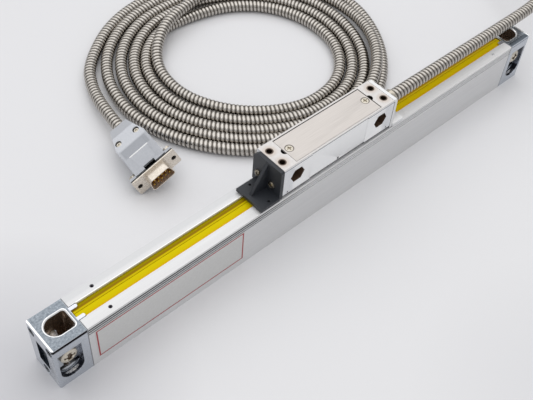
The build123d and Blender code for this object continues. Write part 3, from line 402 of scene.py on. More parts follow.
# The same plate on the mounting screws, with a brown painted shade in the cross and painted light along
# the shank
PAINTED_LIGHT_ZINC = Finish(
    "painted_light_zinc", "#EDE8DC", "#B9AE9C",
    metallic=0.45, roughness=(0.20, 0.32), grain_mm=0.7, relief_mm=0.004, stock="zinc_plated_steel",
    marks=(
        Mark("#3A2C1E", "#6A5540", (173.5, -9.1, 19.6), (3.4, 0.75, 3.4), soft=0.1, rounded=True),
        Mark("#FFFFFF", "#FFFFFF", (173.5, -1.0, 19.6), (3.0, 5.6, 3.0)),
    ),
)
# Black oxide on small set screws: dark and oily, and near white on the far half of the bar
OXIDE = Finish(
    "blackened_steel", "#46424A", "#38363C",
    metallic=0.6, roughness=(0.34, 0.46), grain_mm=0.5, relief_mm=0.006,
    marks=(Mark("#F2F2F3", "#E6E6E8", (150.0, 0.0, 32.0), (140.0, 14.0, 8.0), both=False),),
)
# Ground float glass: clear, with a green cast
GLASS = Finish(
    "clear_glass", "#E2F0EA", "#DCECE5",
    metallic=0.0, roughness=(0.02, 0.05), grain_mm=3.0, relief_mm=0.0, transmission=0.9,
)
# Cured silicone bead: soft grey
ADHESIVE = Finish(
    "cured_adhesive", "#8C8C86", "#7E7E78",
    metallic=0.0, roughness=(0.50, 0.60), grain_mm=1.0, relief_mm=0.010,
)
# Metal foil plate: satin silver inside a thin red line
FOIL = Finish(
    "label_foil", "#DADAD9", "#CECECC",
    metallic=0.20, roughness=(0.30, 0.38), grain_mm=1.2, relief_mm=0.002,
    marks=(
        Mark("#AA2F36", "#A02B32", (-112.3, -11.0, 16.3), (46.5, 2.0, 11.1), soft=0.001, both=False),
        Mark("#DADAD9", "#CECECC", (-112.3, -11.0, 16.3), (45.7, 2.0, 10.3), soft=0.001, both=False),
    ),
)
# Nickel over a ground zinc casting: silky, with brown tints round the tapped holes and painted shade down the
# holes, in the pockets, in two small holes in the front and round the cover's seat. Its front is painted pale
# as painted light and its top a touch darker and warmer as painted shade; a dark line runs along the front's
# top edge, and painted shade along its bottom edge, over the gap above the bar
NICKEL = Finish(
    "nickel_die_cast", "#EFF0F2", "#DEE0E4",
    metallic=0.35, roughness=(0.30, 0.42), grain_mm=1.4, relief_mm=0.005,
    marks=(
        Mark("#E2DFDD", "#D0CCC9", (0.0, 0.0, 56.0), (42.0, 10.6, 0.3)),
        Mark("#3A3532", "#45403C", (0.0, 0.0, 55.0), (32.75, 9.5, 0.86)),
        *on_both_sides(Mark(
            "#B8A492", "#CBB9A9", (38.65, -5.0, 56.0), (1.7, 1.7, 0.4),
            soft=1.8, rounded=True, share=0.7,
        )),
        *on_both_sides(Mark(
            "#4E4138", "#66574B", (38.65, -5.0, 56.0), (2.15, 2.15, 0.5),
            soft=0.12, rounded=True,
        )),
        *on_both_sides(Mark("#2A1F18", "#3B2C22", (38.65, -5.0, 51.0), (1.75, 1.75, 4.7))),
        Mark("#FFFFFF", "#FAFBFC", (0.0, -10.4, 46.0), (34.0, 0.9, 9.0), soft=0.05),
        Mark("#4A382C", "#6A5444", (32.0, -7.6, 47.0), (5.2, 3.0, 5.2)),
        Mark("#2B2623", "#38322E", (32.4, 0.0, 52.0), (2.3, 2.3, 3.6)),
        Mark("#505257", "#66686D", (0.0, -10.4, 55.15), (WHOLE_HEAD, 0.7, 0.22)),
        Mark("#0A0A0B", "#101012", (0.0, -10.3, 36.1), (WHOLE_HEAD, 0.9, 0.5), soft=0.1),
        Mark("#101114", "#17181B", (0.0, -9.8, 37.7), (0.8, 1.6, 0.8), soft=0.05, rounded=True),
        Mark("#303237", "#3C3E43", (38.5, -10.6, 37.7), (0.55, 0.6, 0.55), soft=0.05, rounded=True),
    ),
    lie=HEAD,
)
# Stainless sheet brushed along its length: a warm grey with hairlines, painted shade along the gap behind it
# and at its far end, and darker round its screws
BRUSHED = Finish(
    "brushed_stainless", "#D9D3CE", "#C5BFBA",
    metallic=0.55, roughness=(0.34, 0.48), grain_mm=0.5, relief_mm=0.004, pattern=Pattern.BRUSHED,
    marks=(
        Mark("#242120", "#302D2B", (0.0, 9.05, 55.8), (33.0, 0.28, 0.5)),
        Mark("#3A3734", "#45423F", (32.25, 0.0, 55.8), (0.28, 9.3, 0.5), both=False),
        Mark("#6E6862", "#7C766F", (29.0, 0.0, 56.0), (2.55, 2.55, 0.6), soft=0.06, rounded=True),
    ),
    lie=HEAD,
)
# Glass-filled nylon from a spark-eroded mould: blue-black with an even grain
NYLON = Finish(
    "black_nylon", "#2B2F36", "#212429",
    metallic=0.0, roughness=(0.42, 0.54), grain_mm=0.35, relief_mm=0.012,
)
# Blasted and anodised bracket sheet: satin silver
BRACKET = Finish(
    "bracket_alloy", "#F0F0F0", "#E0E1E3",
    metallic=0.40, roughness=(0.30, 0.42), grain_mm=1.0, relief_mm=0.006,
)
# Nickel plate on turned brass: warm and bright
PLATED_BRASS = Finish(
    "nickel_plated_brass", "#D2CBBE", "#B9B1A3",
    metallic=1.0, roughness=(0.16, 0.30), grain_mm=0.5, relief_mm=0.004, pattern=Pattern.ROLLED,
)
# The jack screws' brass, dark down the flange's holes where no light falls on their tips
JACK_BRASS = Finish(
    "jack_brass", "#D2CBBE", "#B9B1A3",
    metallic=1.0, roughness=(0.16, 0.30), grain_mm=0.5, relief_mm=0.004, pattern=Pattern.ROLLED,
    marks=(Mark("#1D1A18", "#2A2622", (12.5, 0.3, 0.0), (2.0, 2.0, 2.0), soft=0.05, rounded=True),),
    lie=PLUG, stock="nickel_plated_brass",
)
# Extruded polyurethane jacket: black with a low sheen
JACKET = Finish(
    "cable_jacket", "#1A1A1C", "#222224",
    metallic=0.0, roughness=(0.45, 0.55), grain_mm=1.0, relief_mm=0.010,
)
# Ground spring strip: grey with fine grinding lines
SPRING = Finish(
    "spring_steel", "#BDBDBD", "#A6A6A6",
    metallic=1.0, roughness=(0.22, 0.35), grain_mm=0.4, relief_mm=0.003, pattern=Pattern.BRUSHED,
)
# Amber film laid over copper
FILM = Finish(
    "polyimide", "#B5651D", "#A45510",
    metallic=0.1, roughness=(0.20, 0.30), grain_mm=1.0, relief_mm=0.002,
)
# Solder mask over glass laminate: green and glossy
LAMINATE = Finish(
    "circuit_laminate", "#14522E", "#0F4526",
    metallic=0.0, roughness=(0.22, 0.34), grain_mm=0.6, relief_mm=0.006,
)
# Moulded epoxy: matt black
CHIP = Finish(
    "chip_plastic", "#17181A", "#1E1F21",
    metallic=0.0, roughness=(0.50, 0.65), grain_mm=0.3, relief_mm=0.010,
)
# Black anodised carriage: dark satin
CARRIAGE = Finish(
    "black_alloy", "#1E1F22", "#26272A",
    metallic=0.6, roughness=(0.35, 0.50), grain_mm=0.6, relief_mm=0.006,
)
# Ground and polished bearing steel: nearly a mirror
BEARING = Finish(
    "bearing_steel", "#C8CACC", "#B6B8BA",
    metallic=1.0, roughness=(0.08, 0.16), grain_mm=0.8, relief_mm=0.001,
)
# Tin plate on stamped steel: dull, warm silver with flow marks
TINNED = Finish(
    "tinned_steel", "#EFE7DC", "#CFC5B8",
    metallic=0.8, roughness=(0.22, 0.38), grain_mm=1.2, relief_mm=0.008,
)
# Glass-filled connector body: nearly black at its edge, amber brown where the light falls into the shell
CONNECTOR = Finish(
    "connector_plastic", "#1D1812", "#141210",
    metallic=0.0, roughness=(0.35, 0.50), grain_mm=0.5, relief_mm=0.010,
    marks=(Mark("#B4802E", "#7C521E", (0.0, -1.2, 0.0), (9.5, 1.8, 5.0)),),
    lie=PLUG,
)
# Gold flash on turned pins
GOLD = Finish(
    "gold_plate", "#D9B65A", "#C7A044",
    metallic=1.0, roughness=(0.18, 0.28), grain_mm=0.5, relief_mm=0.002,
)
# Satin silver coat over a cast zinc hood: a darker band behind its panel, a painted highlight along the
# panel's edge, a pale nose painted light over the shade on its slope, and painted shade in the screw recesses
HOOD = Finish(
    "hood_zinc", "#B6B8BD", "#A6A9AF",
    metallic=0.45, roughness=(0.28, 0.42), grain_mm=1.0, relief_mm=0.008,
    marks=(
        Mark("#9C9FA5", "#92959B", (0.0, 19.4, 7.0), (8.6, 3.4, 0.6), soft=0.08, share=0.8),
        Mark("#FFFFFF", "#FFFFFF", (0.0, 15.8, 7.0), (6.4, 0.25, 0.6), soft=0.1),
        Mark("#CDCFD4", "#C0C3C9", (0.0, 34.0, 7.0), (9.5, 9.6, 3.2), soft=0.15),
        Mark("#1A1B1E", "#25262A", (6.6, 29.5, 5.0), (2.7, 2.7, 2.0), soft=0.05, rounded=True),
    ),
    lie=PLUG,
)
# Interlocked stainless strip: bright warm crests between darker grooves, darkened by painted shade
HOSE = GroovedSteel(
    "hose_steel", "#DAD6D0", "#B6B0A8",
    metallic=1.0, roughness=(0.18, 0.32), grain_mm=1.2, relief_mm=0.006,
)
# The studio's board: a glossy white laminate whose tone drifts slowly in place of a grain, with painted shade
# on it round the bar's near end and in front of it
BOARD = Finish(
    "white_laminate", "#E0E0E3", "#E6E6E7",
    metallic=0.0, roughness=(0.28, 0.28), grain_mm=770.0, relief_mm=0.0, gloss=0.4,
    marks=(
        Mark(
            "#B4B4BA", "#B4B4BA", (-215.0, 5.0, 0.0), (30.0, 30.0, 30.0),
            soft=2.5, rounded=True, share=0.5, both=False,
        ),
        Mark(
            "#B4B4BA", "#B4B4BA", (10.0, -185.0, 0.0), (30.0, 30.0, 30.0),
            soft=2.0, rounded=True, share=0.15, both=False,
        ),
    ),
)


def placed(name: str, data: bpy.types.ID) -> bpy.types.Object:
    """Puts an object into the scene.

    Args:
        name: the object's name.
        data: its mesh, curve, light or camera.

    Returns:
        The object, at the origin.
    """
    made = bpy.data.objects.new(name, data)
    bpy.context.scene.collection.objects.link(made)
    return made


def part_copy(name: str, node: str, body: str, slot: str, material: bpy.types.Material) -> bpy.types.Object:
    """Copies a CAD node's mesh as a clean, joined mesh that stands for the node.

    Args:
        name: the new piece's name.
        node: the CAD node that it replaces.
        body: the CAD body that it rides on.
        slot: the material slot's name, not used.
        material: its material.

    Returns:
        The new piece, with smooth shading between its sharp edges.
    """
    source = bpy.data.objects[node]
    mesh = source.data.copy()
    shape = bmesh.new()
    shape.from_mesh(mesh)
    bmesh.ops.remove_doubles(shape, verts=shape.verts, dist=WELD)
    flat = math.radians(FLAT_DEGREES)
    bmesh.ops.dissolve_limit(shape, angle_limit=flat, verts=shape.verts, edges=shape.edges)
    shape.to_mesh(mesh)
    shape.free()
    mesh.materials.clear()
    mesh.materials.append(material)
    piece = placed(name, mesh)
    mesh.shade_smooth()
    mesh.set_sharp_from_angle(angle=math.radians(SHARP_DEGREES))
    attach(piece, body)
    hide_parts(node)
    return piece


@dataclass
class Dresser:
    """Gives the CAD nodes of one body their finishes, or rounded copies."""

    body: str
    made: dict[str, bpy.types.Material]
    corner_degrees: float = 40.0

    def stock(self, finish: Finish) -> bpy.types.Material:
        """Gives the finish's material, which is made once.

        Args:
            finish: the finish.

        Returns:
            Its material.
        """
        if finish.name not in self.made:
            self.made[finish.name] = finish.material()
        return self.made[finish.name]

    def paint(self, node: str, finish: Finish) -> None:
        """Gives a CAD node its finish.

        Args:
            node: the CAD node.
            finish: its finish.
        """
        target = bpy.data.objects[node]
        for slot in target.material_slots:
            slot.material = self.stock(finish)
        LOG.info("%s: %s", node, finish.name)

    def soften(self, node: str, finish: Finish, radius_mm: float, segments: int = 2) -> bpy.types.Object:
        """Replaces a CAD node by a copy with softly broken edges.

        Args:
            node: the CAD node.
            finish: its finish.
            radius_mm: the width of the broken edges.
            segments: the number of faces across each edge.

        Returns:
            The new piece.
        """
        piece = part_copy(f"{node}.dressed", node, self.body, finish.slot(), self.stock(finish))
        bevel = piece.modifiers.new("broken_edges", "BEVEL")
        bevel.width = radius_mm * MM
        bevel.segments = segments
        bevel.limit_method = "ANGLE"
        bevel.angle_limit = math.radians(self.corner_degrees)
        bevel.use_clamp_overlap = True
        bevel.harden_normals = True
        bevel.miter_outer = "MITER_ARC"
        LOG.info("%s: softened, %s", node, finish.name)
        return piece


class HeadForm(Enum):
    """The kinds of screw head."""

    PAN = "pan"
    FLAT = "flat"


@dataclass
class ScrewSet:
    """Cross-recessed screws of one size, set at their places by a Geometry Nodes tree."""

    dresser: Dresser
    node: str
    finish: Finish
    places_mm: tuple[Triple, ...]
    headings: tuple[Triple, ...]
    head_mm: float
    height_mm: float
    shank_mm: float
    length_mm: float
    form: HeadForm = HeadForm.PAN
    sides: int = 32
    # The cross: its arms' reach and width as shares of the head's radius, its depth as a share of the head's
    # height, and the slack that lets points on its edge in
    arm: float = 0.62
    slot: float = 0.24
    depth: float = 0.55
    slack_mm: float = 0.02
    # The head's top: its rings' radii, its own radius, the height of its edge and of the rim, and its curve
    rings: tuple[float, ...] = (0.12, 0.2, 0.26, 0.34, 0.42, 0.5, 0.58, 0.64, 0.7, 0.8, 0.9)
    top_share: float = 0.93
    edge_share: float = 0.66
    rim_share: float = 0.36
    curve: float = 2.4
    # The thin land round a flat head, and the tip's radius and taper as shares of the shank's radius
    land_mm: float = 0.12
    tip_share: float = 0.6
    taper_share: float = 0.4
    sharp_degrees: float = 38.0

    def profile(self) -> list[Pair]:
        """Lists the half section from the head's top edge to the tip.

        Returns:
            Radii and heights, in millimetres.
        """
        rim, high, shank, low = self.head_mm, self.height_mm, self.shank_mm, -self.length_mm
        tip = [(shank, low + shank * self.taper_share), (shank * self.tip_share, low), (0.0, low)]
        if self.form is HeadForm.FLAT:
            return [(rim, -self.land_mm), (shank, -high), *tip]
        edge = (rim * self.top_share, high * self.edge_share)
        return [edge, (rim, high * self.rim_share), (rim, 0.0), (shank, 0.0), *tip]

    def crown(self, radius: float) -> float:
        """Works out the height of the head's top.

        Args:
            radius: the distance from its middle, in millimetres.

        Returns:
            The height above the seat, in millimetres.
        """
        if self.form is HeadForm.FLAT:
            return 0.0
        share = radius / (self.head_mm * self.top_share)
        return self.height_mm * (1.0 - (1.0 - self.edge_share) * share**self.curve)

    def template(self) -> bpy.types.Object:
        """Builds one screw along Z with its seat at the origin.

        Returns:
            The screw, whose cross is sunk into the top's own rings.
        """
        shape = bmesh.new()
        outer = self.profile()[0][0]
        rings = [(outer * share, self.crown(outer * share), True) for share in self.rings]
        rings += [(radius, height, False) for radius, height in self.profile()[:-1]]
        rows = []
        for radius, height, top in rings:
            row = []
            for side in range(self.sides):
                angle = 2 * math.pi * (side + 0.5) / self.sides
                x, y = radius * math.cos(angle), radius * math.sin(angle)
                near, far = sorted((abs(x), abs(y)))
                in_slot = near < self.head_mm * self.slot / 2 + self.slack_mm
                sunk = top and in_slot and far < self.head_mm * self.arm
                lower = self.height_mm * self.depth if sunk else 0.0
                row.append(shape.verts.new((x * MM, y * MM, (height - lower) * MM)))
            rows.append(row)
        crown = shape.verts.new((0, 0, (self.crown(0.0) - self.height_mm * self.depth) * MM))
        tip = shape.verts.new((0, 0, -self.length_mm * MM))
        for side in range(self.sides):
            following = (side + 1) % self.sides
            shape.faces.new((crown, rows[0][side], rows[0][following]))
            shape.faces.new((tip, rows[-1][following], rows[-1][side]))
            for upper, lower in zip(rows, rows[1:]):
                shape.faces.new((upper[side], lower[side], lower[following], upper[following]))
        bmesh.ops.recalc_face_normals(shape, faces=shape.faces)
        mesh = bpy.data.meshes.new(f"{self.node}.one")
        shape.to_mesh(mesh)
        shape.free()
        mesh.shade_smooth()
        mesh.set_sharp_from_angle(angle=math.radians(self.sharp_degrees))
        return placed(f"{self.node}.one", mesh)

    def tree(self) -> Tree:
        """Builds the tree that stands one screw at each point, along the point's heading.

        Returns:
            The tree, with inputs for the screw and its material.
        """
        tree = bpy.data.node_groups.new("screws_at_places", "GeometryNodeTree")
        inputs = {"Places": "Geometry", "Screw": "Object", "Size": "Float", "Finish": "Material"}
        for name, kind in inputs.items():
            tree.interface.new_socket(name=name, in_out="INPUT", socket_type=f"NodeSocket{kind}")
        tree.interface.new_socket(name="Screws", in_out="OUTPUT", socket_type="NodeSocketGeometry")
        given = add_node(tree, "NodeGroupInput").outputs
        points = add_node(tree, "GeometryNodeMeshToPoints", {"Mesh": given["Places"]})
        named = {"Name": "heading"}
        heading = add_node(tree, "GeometryNodeInputNamedAttribute", named, data_type="FLOAT_VECTOR")
        turn = add_node(tree, "FunctionNodeAlignRotationToVector", {"Vector": heading.outputs[0]}, axis="Z")
        screw = add_node(tree, "GeometryNodeObjectInfo", {"Object": given["Screw"]})
        stood = {
            "Points": points.outputs[0],
            "Instance": screw.outputs["Geometry"],
            "Rotation": turn.outputs[0],
            "Scale": given["Size"],
        }
        screws = add_node(tree, "GeometryNodeInstanceOnPoints", stood)
        real = add_node(tree, "GeometryNodeRealizeInstances", {"Geometry": screws.outputs[0]})
        done = {"Geometry": real.outputs[0], "Material": given["Finish"]}
        dressed = add_node(tree, "GeometryNodeSetMaterial", done)
        add_node(tree, "NodeGroupOutput", {"Screws": dressed.outputs[0]})
        return tree

    def build(self) -> None:
        """Places the screws, makes them one plain mesh and lets it stand for the CAD screws."""
        mesh = bpy.data.meshes.new(f"{self.node}.places")
        mesh.from_pydata([tuple(v * MM for v in place) for place in self.places_mm], [], [])
        heading = mesh.attributes.new("heading", "FLOAT_VECTOR", "POINT")
        heading.data.foreach_set("vector", [v for row in self.headings for v in row])
        screws = placed(f"{self.node}.dressed", mesh)
        one, tree, material = self.template(), self.tree(), self.dresser.stock(self.finish)
        nodes = screws.modifiers.new("screws_at_places", "NODES")
        nodes.node_group = tree
        values = {"Screw": one, "Size": 1.0, "Finish": material}
        for item in tree.interface.items_tree:
            if item.in_out == "INPUT" and item.name in values:
                nodes[item.identifier] = values[item.name]
        bpy.context.view_layer.update()
        graph = bpy.context.evaluated_depsgraph_get()
        screws_mesh = bpy.data.meshes.new_from_object(screws.evaluated_get(graph))
        screws.modifiers.remove(nodes)
        screws.data = screws_mesh
        bpy.data.objects.remove(one)
        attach(screws, self.dresser.body)
        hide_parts(self.node)
        self.finish.slot()
        LOG.info("%s: %d screws, %d faces", self.node, len(self.places_mm), len(screws_mesh.polygons))


@dataclass
class ScaleBar:
    """The extruded bar with its lips, end blocks, screws and label."""

    dresser: Dresser
    # How near the middle a lip's edge lies, and where it is brought to, in metres
    lip_edge: float = 0.0012
    lip_parting: float = 0.00012
    mounting_mm: Triple = (173.5, -7.2, 19.6)
    port_face_mm: float = 180.1
    ports_mm: tuple[Pair, ...] = ((-7.6, 28.8), (7.6, 28.8), (0.0, 4.2))
    inside: dict[str, Finish] = field(
        default_factory=lambda: {
            "end_gasket_near": END_GASKET,
            "end_gasket_far": END_GASKET,
            "travel_stop_near": GASKET,
            "travel_stop_far": GASKET,
            "glass_scale": GLASS,
            "glass_bonding_strip": ADHESIVE,
            "rail_set_screws": OXIDE,
        }
    )

    def close_lip(self, lip: bpy.types.Object) -> None:
        """Brings a lip's inner edge to the middle, where the two lips touch and the blade parts them.

        Args:
            lip: the dressed lip.
        """
        for vertex in lip.data.vertices:
            if abs(vertex.co.y) < self.lip_edge:
                vertex.co.y = math.copysign(self.lip_parting, vertex.co.y)

    def build(self) -> None:
        """Dresses the bar's pieces, the visible ones with broken edges."""
        for node, finish in self.inside.items():
            self.dresser.paint(node, finish)
        self.dresser.soften("scale_housing", ANODISED, radius_mm=0.18)
        for end in ("near", "far"):
            self.dresser.soften(f"end_block_{end}", CHROMED, radius_mm=0.3)
        for side, finish in (("front", LIP), ("rear", SHADED_LIP)):
            self.close_lip(self.dresser.soften(f"seal_lip_{side}", finish, radius_mm=0.1))
        self.dresser.soften("side_label", FOIL, radius_mm=0.04)
        self.mounting_screws().build()
        self.end_block_screws().build()

    def mounting_screws(self) -> ScrewSet:
        """Lists the two screws in the end blocks' counterbores.

        Returns:
            The screws, which face the front.
        """
        x, y, z = self.mounting_mm
        places, ahead = ((-x, y, z), (x, y, z)), ((0, -1, 0),) * 2
        return ScrewSet(
            self.dresser, "mounting_screws", PAINTED_LIGHT_ZINC, places, ahead,
            head_mm=4.8, height_mm=3.4, shank_mm=2.5, length_mm=16.0, slot=0.4, depth=0.35,
        )

    def end_block_screws(self) -> ScrewSet:
        """Lists the three screws in each end block's outer face.

        Returns:
            The screws, which face outwards.
        """
        places = tuple((end * self.port_face_mm, y, z) for end in (-1, 1) for y, z in self.ports_mm)
        outward = tuple((end, 0, 0) for end in (-1, 1) for _ in self.ports_mm)
        return ScrewSet(
            self.dresser, "end_block_screws", SHADED_ZINC, places, outward,
            head_mm=2.6, height_mm=1.7, shank_mm=1.2, length_mm=27.6,
        )


@dataclass
class ReadingHead:
    """The head with its cover, brackets, gland, carriage and electronics."""

    dresser: Dresser
    inside: dict[str, Finish] = field(
        default_factory=lambda: {
            "far_bracket_gasket": GASKET,
            "inner_cable": JACKET,
            "coupling_blade": SPRING,
            "blade_screws": ZINC,
            "coupling_wire": SPRING,
            "signal_ribbon": FILM,
            "head_circuit_board": LAMINATE,
            "head_board_chips": CHIP,
            "reading_carriage": CARRIAGE,
            "bearing_pins": BEARING,
            "reading_board": LAMINATE,
            "index_grating": GLASS,
            "light_board": LAMINATE,
            **{f"{side}_bearing_{end}": BEARING for side in ("face", "edge") for end in ("near", "far")},
        }
    )
    near_screws_mm: tuple[Triple, ...] = ((-41.3, -4.4, 42.0), (-41.3, 6.4, 42.0))
    far_screws_mm: tuple[Triple, ...] = ((47.7, -7.2, 39.6), (47.7, 7.2, 39.6))
    cover_screws_mm: tuple[Triple, ...] = ((-26.0, 0.0, 56.0), (32.0, 0.0, 56.0))

    def build(self) -> None:
        """Dresses the head's pieces, the visible ones with broken edges."""
        for node, finish in self.inside.items():
            self.dresser.paint(node, finish)
        self.dresser.soften("head_housing", NICKEL, radius_mm=0.3)
        self.dresser.soften("head_cover_plate", BRUSHED, radius_mm=0.12)
        self.dresser.soften("near_end_bracket", NYLON, radius_mm=0.35)
        self.dresser.soften("far_end_bracket", BRACKET, radius_mm=0.25)
        self.dresser.soften("cable_gland", PLATED_BRASS, radius_mm=0.25)
        back, front, up = ((-1, 0, 0),) * 2, ((1, 0, 0),) * 2, ((0, 0, 1),) * 2
        ScrewSet(
            self.dresser, "near_bracket_screws", SHADED_ZINC, self.near_screws_mm, back,
            head_mm=2.2, height_mm=1.3, shank_mm=1.2, length_mm=7.3,
        ).build()
        ScrewSet(
            self.dresser, "far_bracket_screws", ZINC, self.far_screws_mm, front,
            head_mm=1.9, height_mm=1.3, shank_mm=1.2, length_mm=7.7,
        ).build()
        ScrewSet(
            self.dresser, "cover_screws", ZINC, self.cover_screws_mm, up,
            head_mm=2.2, height_mm=1.2, shank_mm=1.0, length_mm=4.2, form=HeadForm.FLAT,
        ).build()


@dataclass
class Connector:
    """The nine-pin connector and its hood."""

    dresser: Dresser

    def build(self) -> None:
        """Dresses the connector's pieces, the visible ones with broken edges."""
        self.dresser.paint("plug_cable", JACKET)
        self.dresser.paint("plug_pins", GOLD)
        self.dresser.paint("jack_screw_left", JACK_BRASS)
        self.dresser.paint("jack_screw_right", JACK_BRASS)
        self.dresser.soften("plug_shell", TINNED, radius_mm=0.2)
        self.dresser.soften("plug_insulator", CONNECTOR, radius_mm=0.15)
        for half in ("upper", "lower"):
            self.dresser.soften(f"hood_{half}", HOOD, radius_mm=0.6, segments=3)
        self.dresser.soften("hood_screws", ZINC, radius_mm=0.1)


@dataclass
class ArmouredHose:
    """The interlocked steel hose, on one smooth line from the head's gland to the connector's hood."""

    dresser: Dresser
    name: str = "armoured_hose"
    exit_mm: Triple = (56.4, 0.0, 44.5)
    diameter_mm: float = 7.8
    pitch_mm: float = 2.72
    sides: int = 16
    # One rib's section: the share of the pitch, the radius in millimetres and how deep in the groove it lies,
    # which sets how much painted shade the steel gets there
    ridge: tuple[Triple, ...] = (
        (0.00, 3.58, 0.7), (0.16, 3.90, 0.0), (0.52, 3.90, 0.0), (0.68, 3.58, 0.7), (0.84, 3.48, 1.0),
    )
    # The route: the lead's points, then the coil by its radii and heights every step, then the tail's points
    lead_mm: tuple[Triple, ...] = (
        (106.0, 0.0, 44.5), (158.0, 0.4, 43.4), (206.0, 2.0, 41.4), (244.0, 12.5, 40.2),
        (267.0, 42.0, 34.5), (269.0, 81.0, 23.0), (255.0, 118.0, 12.5), (229.0, 148.0, 6.2),
        (194.0, 166.0, 4.4), (160.0, 175.5, 6.0), (129.0, 178.0, 12.4), (104.0, 178.5, 12.4),
        (78.0, 176.5, 12.2),
    )
    landing_mm: tuple[Pair, ...] = ((58.3, 12.2), (59.4, 10.8))
    centre_mm: Pair = (48.0, 114.0)
    first_degrees: float = 90.0
    step_degrees: float = 30.0
    turns_mm: tuple[tuple[float, ...], ...] = (
        (60.9, 57.6, 53.7, 53.8, 58.8, 62.6, 61.8, 57.7, 54.8, 53.2, 54.0, 64.2),
        (68.6, 67.2, 63.1, 62.3, 66.8, 71.0, 70.0, 67.2, 64.3, 62.8, 66.0, 72.3),
        (76.2, 76.0, 71.8, 70.6, 74.8, 79.0, 78.4, 77.2, 74.4, 72.2, 74.0, 80.6),
        (84.8, 84.9, 79.8, 78.6, 82.8, 86.0, 87.0, 86.4, 84.4, 81.2, 81.9, 88.8),
        (94.3, 93.9, 88.2, 86.8, 90.2, 90.4, 91.8, 97.2, 95.4, 90.2, 88.6, 95.6),
    )
    # The coil's points that are raised, where the lead lands and where it crosses, as number and height
    raised_mm: tuple[tuple[int, float], ...] = ((0, 4.6), (40, 5.4), (41, 10.4), (42, 10.6), (43, 6.2))
    floor_mm: float = 3.9
    tail_mm: tuple[Triple, ...] = (
        (-40.8, 171.0, 4.2), (-52.4, 149.0, 5.3), (-58.75, 126.08, 8.29), (-61.63, 104.52, 9.78),
    )
    spline_order: int = 3
    spline_steps: int = 24
    # How far before and after a point its direction is read
    look_mm: float = 0.8
    # The connector's pieces, which hang on the hose's far end
    with_pieces: tuple[str, ...] = (
        "hood_lower.dressed",
        "hood_screws.dressed",
        "hood_upper.dressed",
        "plug_insulator.dressed",
        "plug_shell.dressed",
        "plug_pins",
        "plug_cable",
        "jack_screw_left",
        "jack_screw_right",
    )

    def route(self) -> list[Vector]:
        """Works out the line's control points, in metres.

        Returns:
            The points from the gland, round the coil and to the hood.
        """
        spread = math.cos(math.radians(self.step_degrees / 2))
        polar = list(self.landing_mm)
        raised = dict(self.raised_mm)
        reaches = [reach for turn in self.turns_mm for reach in turn]
        polar += [(reach, raised.get(number, self.floor_mm)) for number, reach in enumerate(reaches)]
        points = [self.exit_mm, *self.lead_mm]
        for number, (reach, height) in enumerate(polar):
            angle = math.radians(self.first_degrees + number * self.step_degrees)
            x = self.centre_mm[0] + reach / spread * math.cos(angle)
            y = self.centre_mm[1] + reach / spread * math.sin(angle)
            points.append((x, y, height))
        points += self.tail_mm
        return [Vector(point) * MM for point in points]

    def smooth_line(self) -> np.ndarray:
        """Lays one NURBS spline over the control points and reads its line.

        Returns:
            The points along the line, in metres.
        """
        points = self.route()
        curve = bpy.data.curves.new("hose_line", "CURVE")
        curve.dimensions = "3D"
        curve.resolution_u = self.spline_steps
        spline = curve.splines.new("NURBS")
        spline.points.add(len(points) - 1)
        for place, point in zip(spline.points, points):
            place.co = (*point, 1.0)
        spline.order_u = self.spline_order
        spline.use_endpoint_u = True
        line = placed("hose_line", curve)
        graph = bpy.context.evaluated_depsgraph_get()
        mesh = bpy.data.meshes.new_from_object(line.evaluated_get(graph))
        path = np.array([vertex.co for vertex in mesh.vertices])
        bpy.data.meshes.remove(mesh)
        bpy.data.objects.remove(line)
        return path

    def frames(self, path: np.ndarray, places: np.ndarray) -> tuple[np.ndarray, np.ndarray, np.ndarray]:
        """Finds the centre and two cross directions at places along the line.

        Args:
            path: points along the line.
            places: distances along it.

        Returns:
            Centres, and two unit directions across the line that don't twist.
        """
        runs = np.linalg.norm(np.diff(path, axis=0), axis=1)
        along = np.concatenate([[0.0], np.cumsum(runs)])
        centres = np.stack([np.interp(places, along, path[:, k]) for k in range(3)], axis=1)
        reach = self.look_mm * MM
        after = np.stack([np.interp(places + reach, along, path[:, k]) for k in range(3)], axis=1)
        before = np.stack([np.interp(places - reach, along, path[:, k]) for k in range(3)], axis=1)
        tangents = after - before
        tangents /= np.linalg.norm(tangents, axis=1)[:, None]
        across = np.empty_like(centres)
        side = np.cross(tangents[0], (0.0, 0.0, 1.0))
        for number, tangent in enumerate(tangents):
            side = side - tangent * side.dot(tangent)
            side /= np.linalg.norm(side)
            across[number] = side
        return centres, across, np.cross(tangents, across)

    def rings(self, path: np.ndarray, length: float) -> tuple[np.ndarray, np.ndarray, np.ndarray]:
        """Winds the rib's section round the line as one helix, cut off square at both ends.

        Args:
            path: points along the line.
            length: the line's length.

        Returns:
            The vertices ring by ring, how far along the line each lies, and how deep in the groove.
        """
        ribs = round(length / (self.pitch_mm * MM))
        pitch = length / ribs
        turns = np.arange(-1, ribs + 1)
        shares = np.array([row[0] for row in self.ridge])
        radii = np.tile([row[1] * MM for row in self.ridge], len(turns))
        depths = np.tile([row[2] for row in self.ridge], len(turns))
        starts = (turns[:, None] + shares[None, :]).ravel() * pitch
        around = np.arange(self.sides) / self.sides
        places = np.clip(starts[:, None] + around[None, :] * pitch, 0.0, length).ravel()
        centres, across, up = self.frames(path, places)
        angles = np.tile(around * 2 * math.pi, len(starts))
        out = across * np.cos(angles)[:, None] + up * np.sin(angles)[:, None]
        verts = centres + out * np.repeat(radii, self.sides)[:, None]
        return verts, places, np.repeat(depths, self.sides)

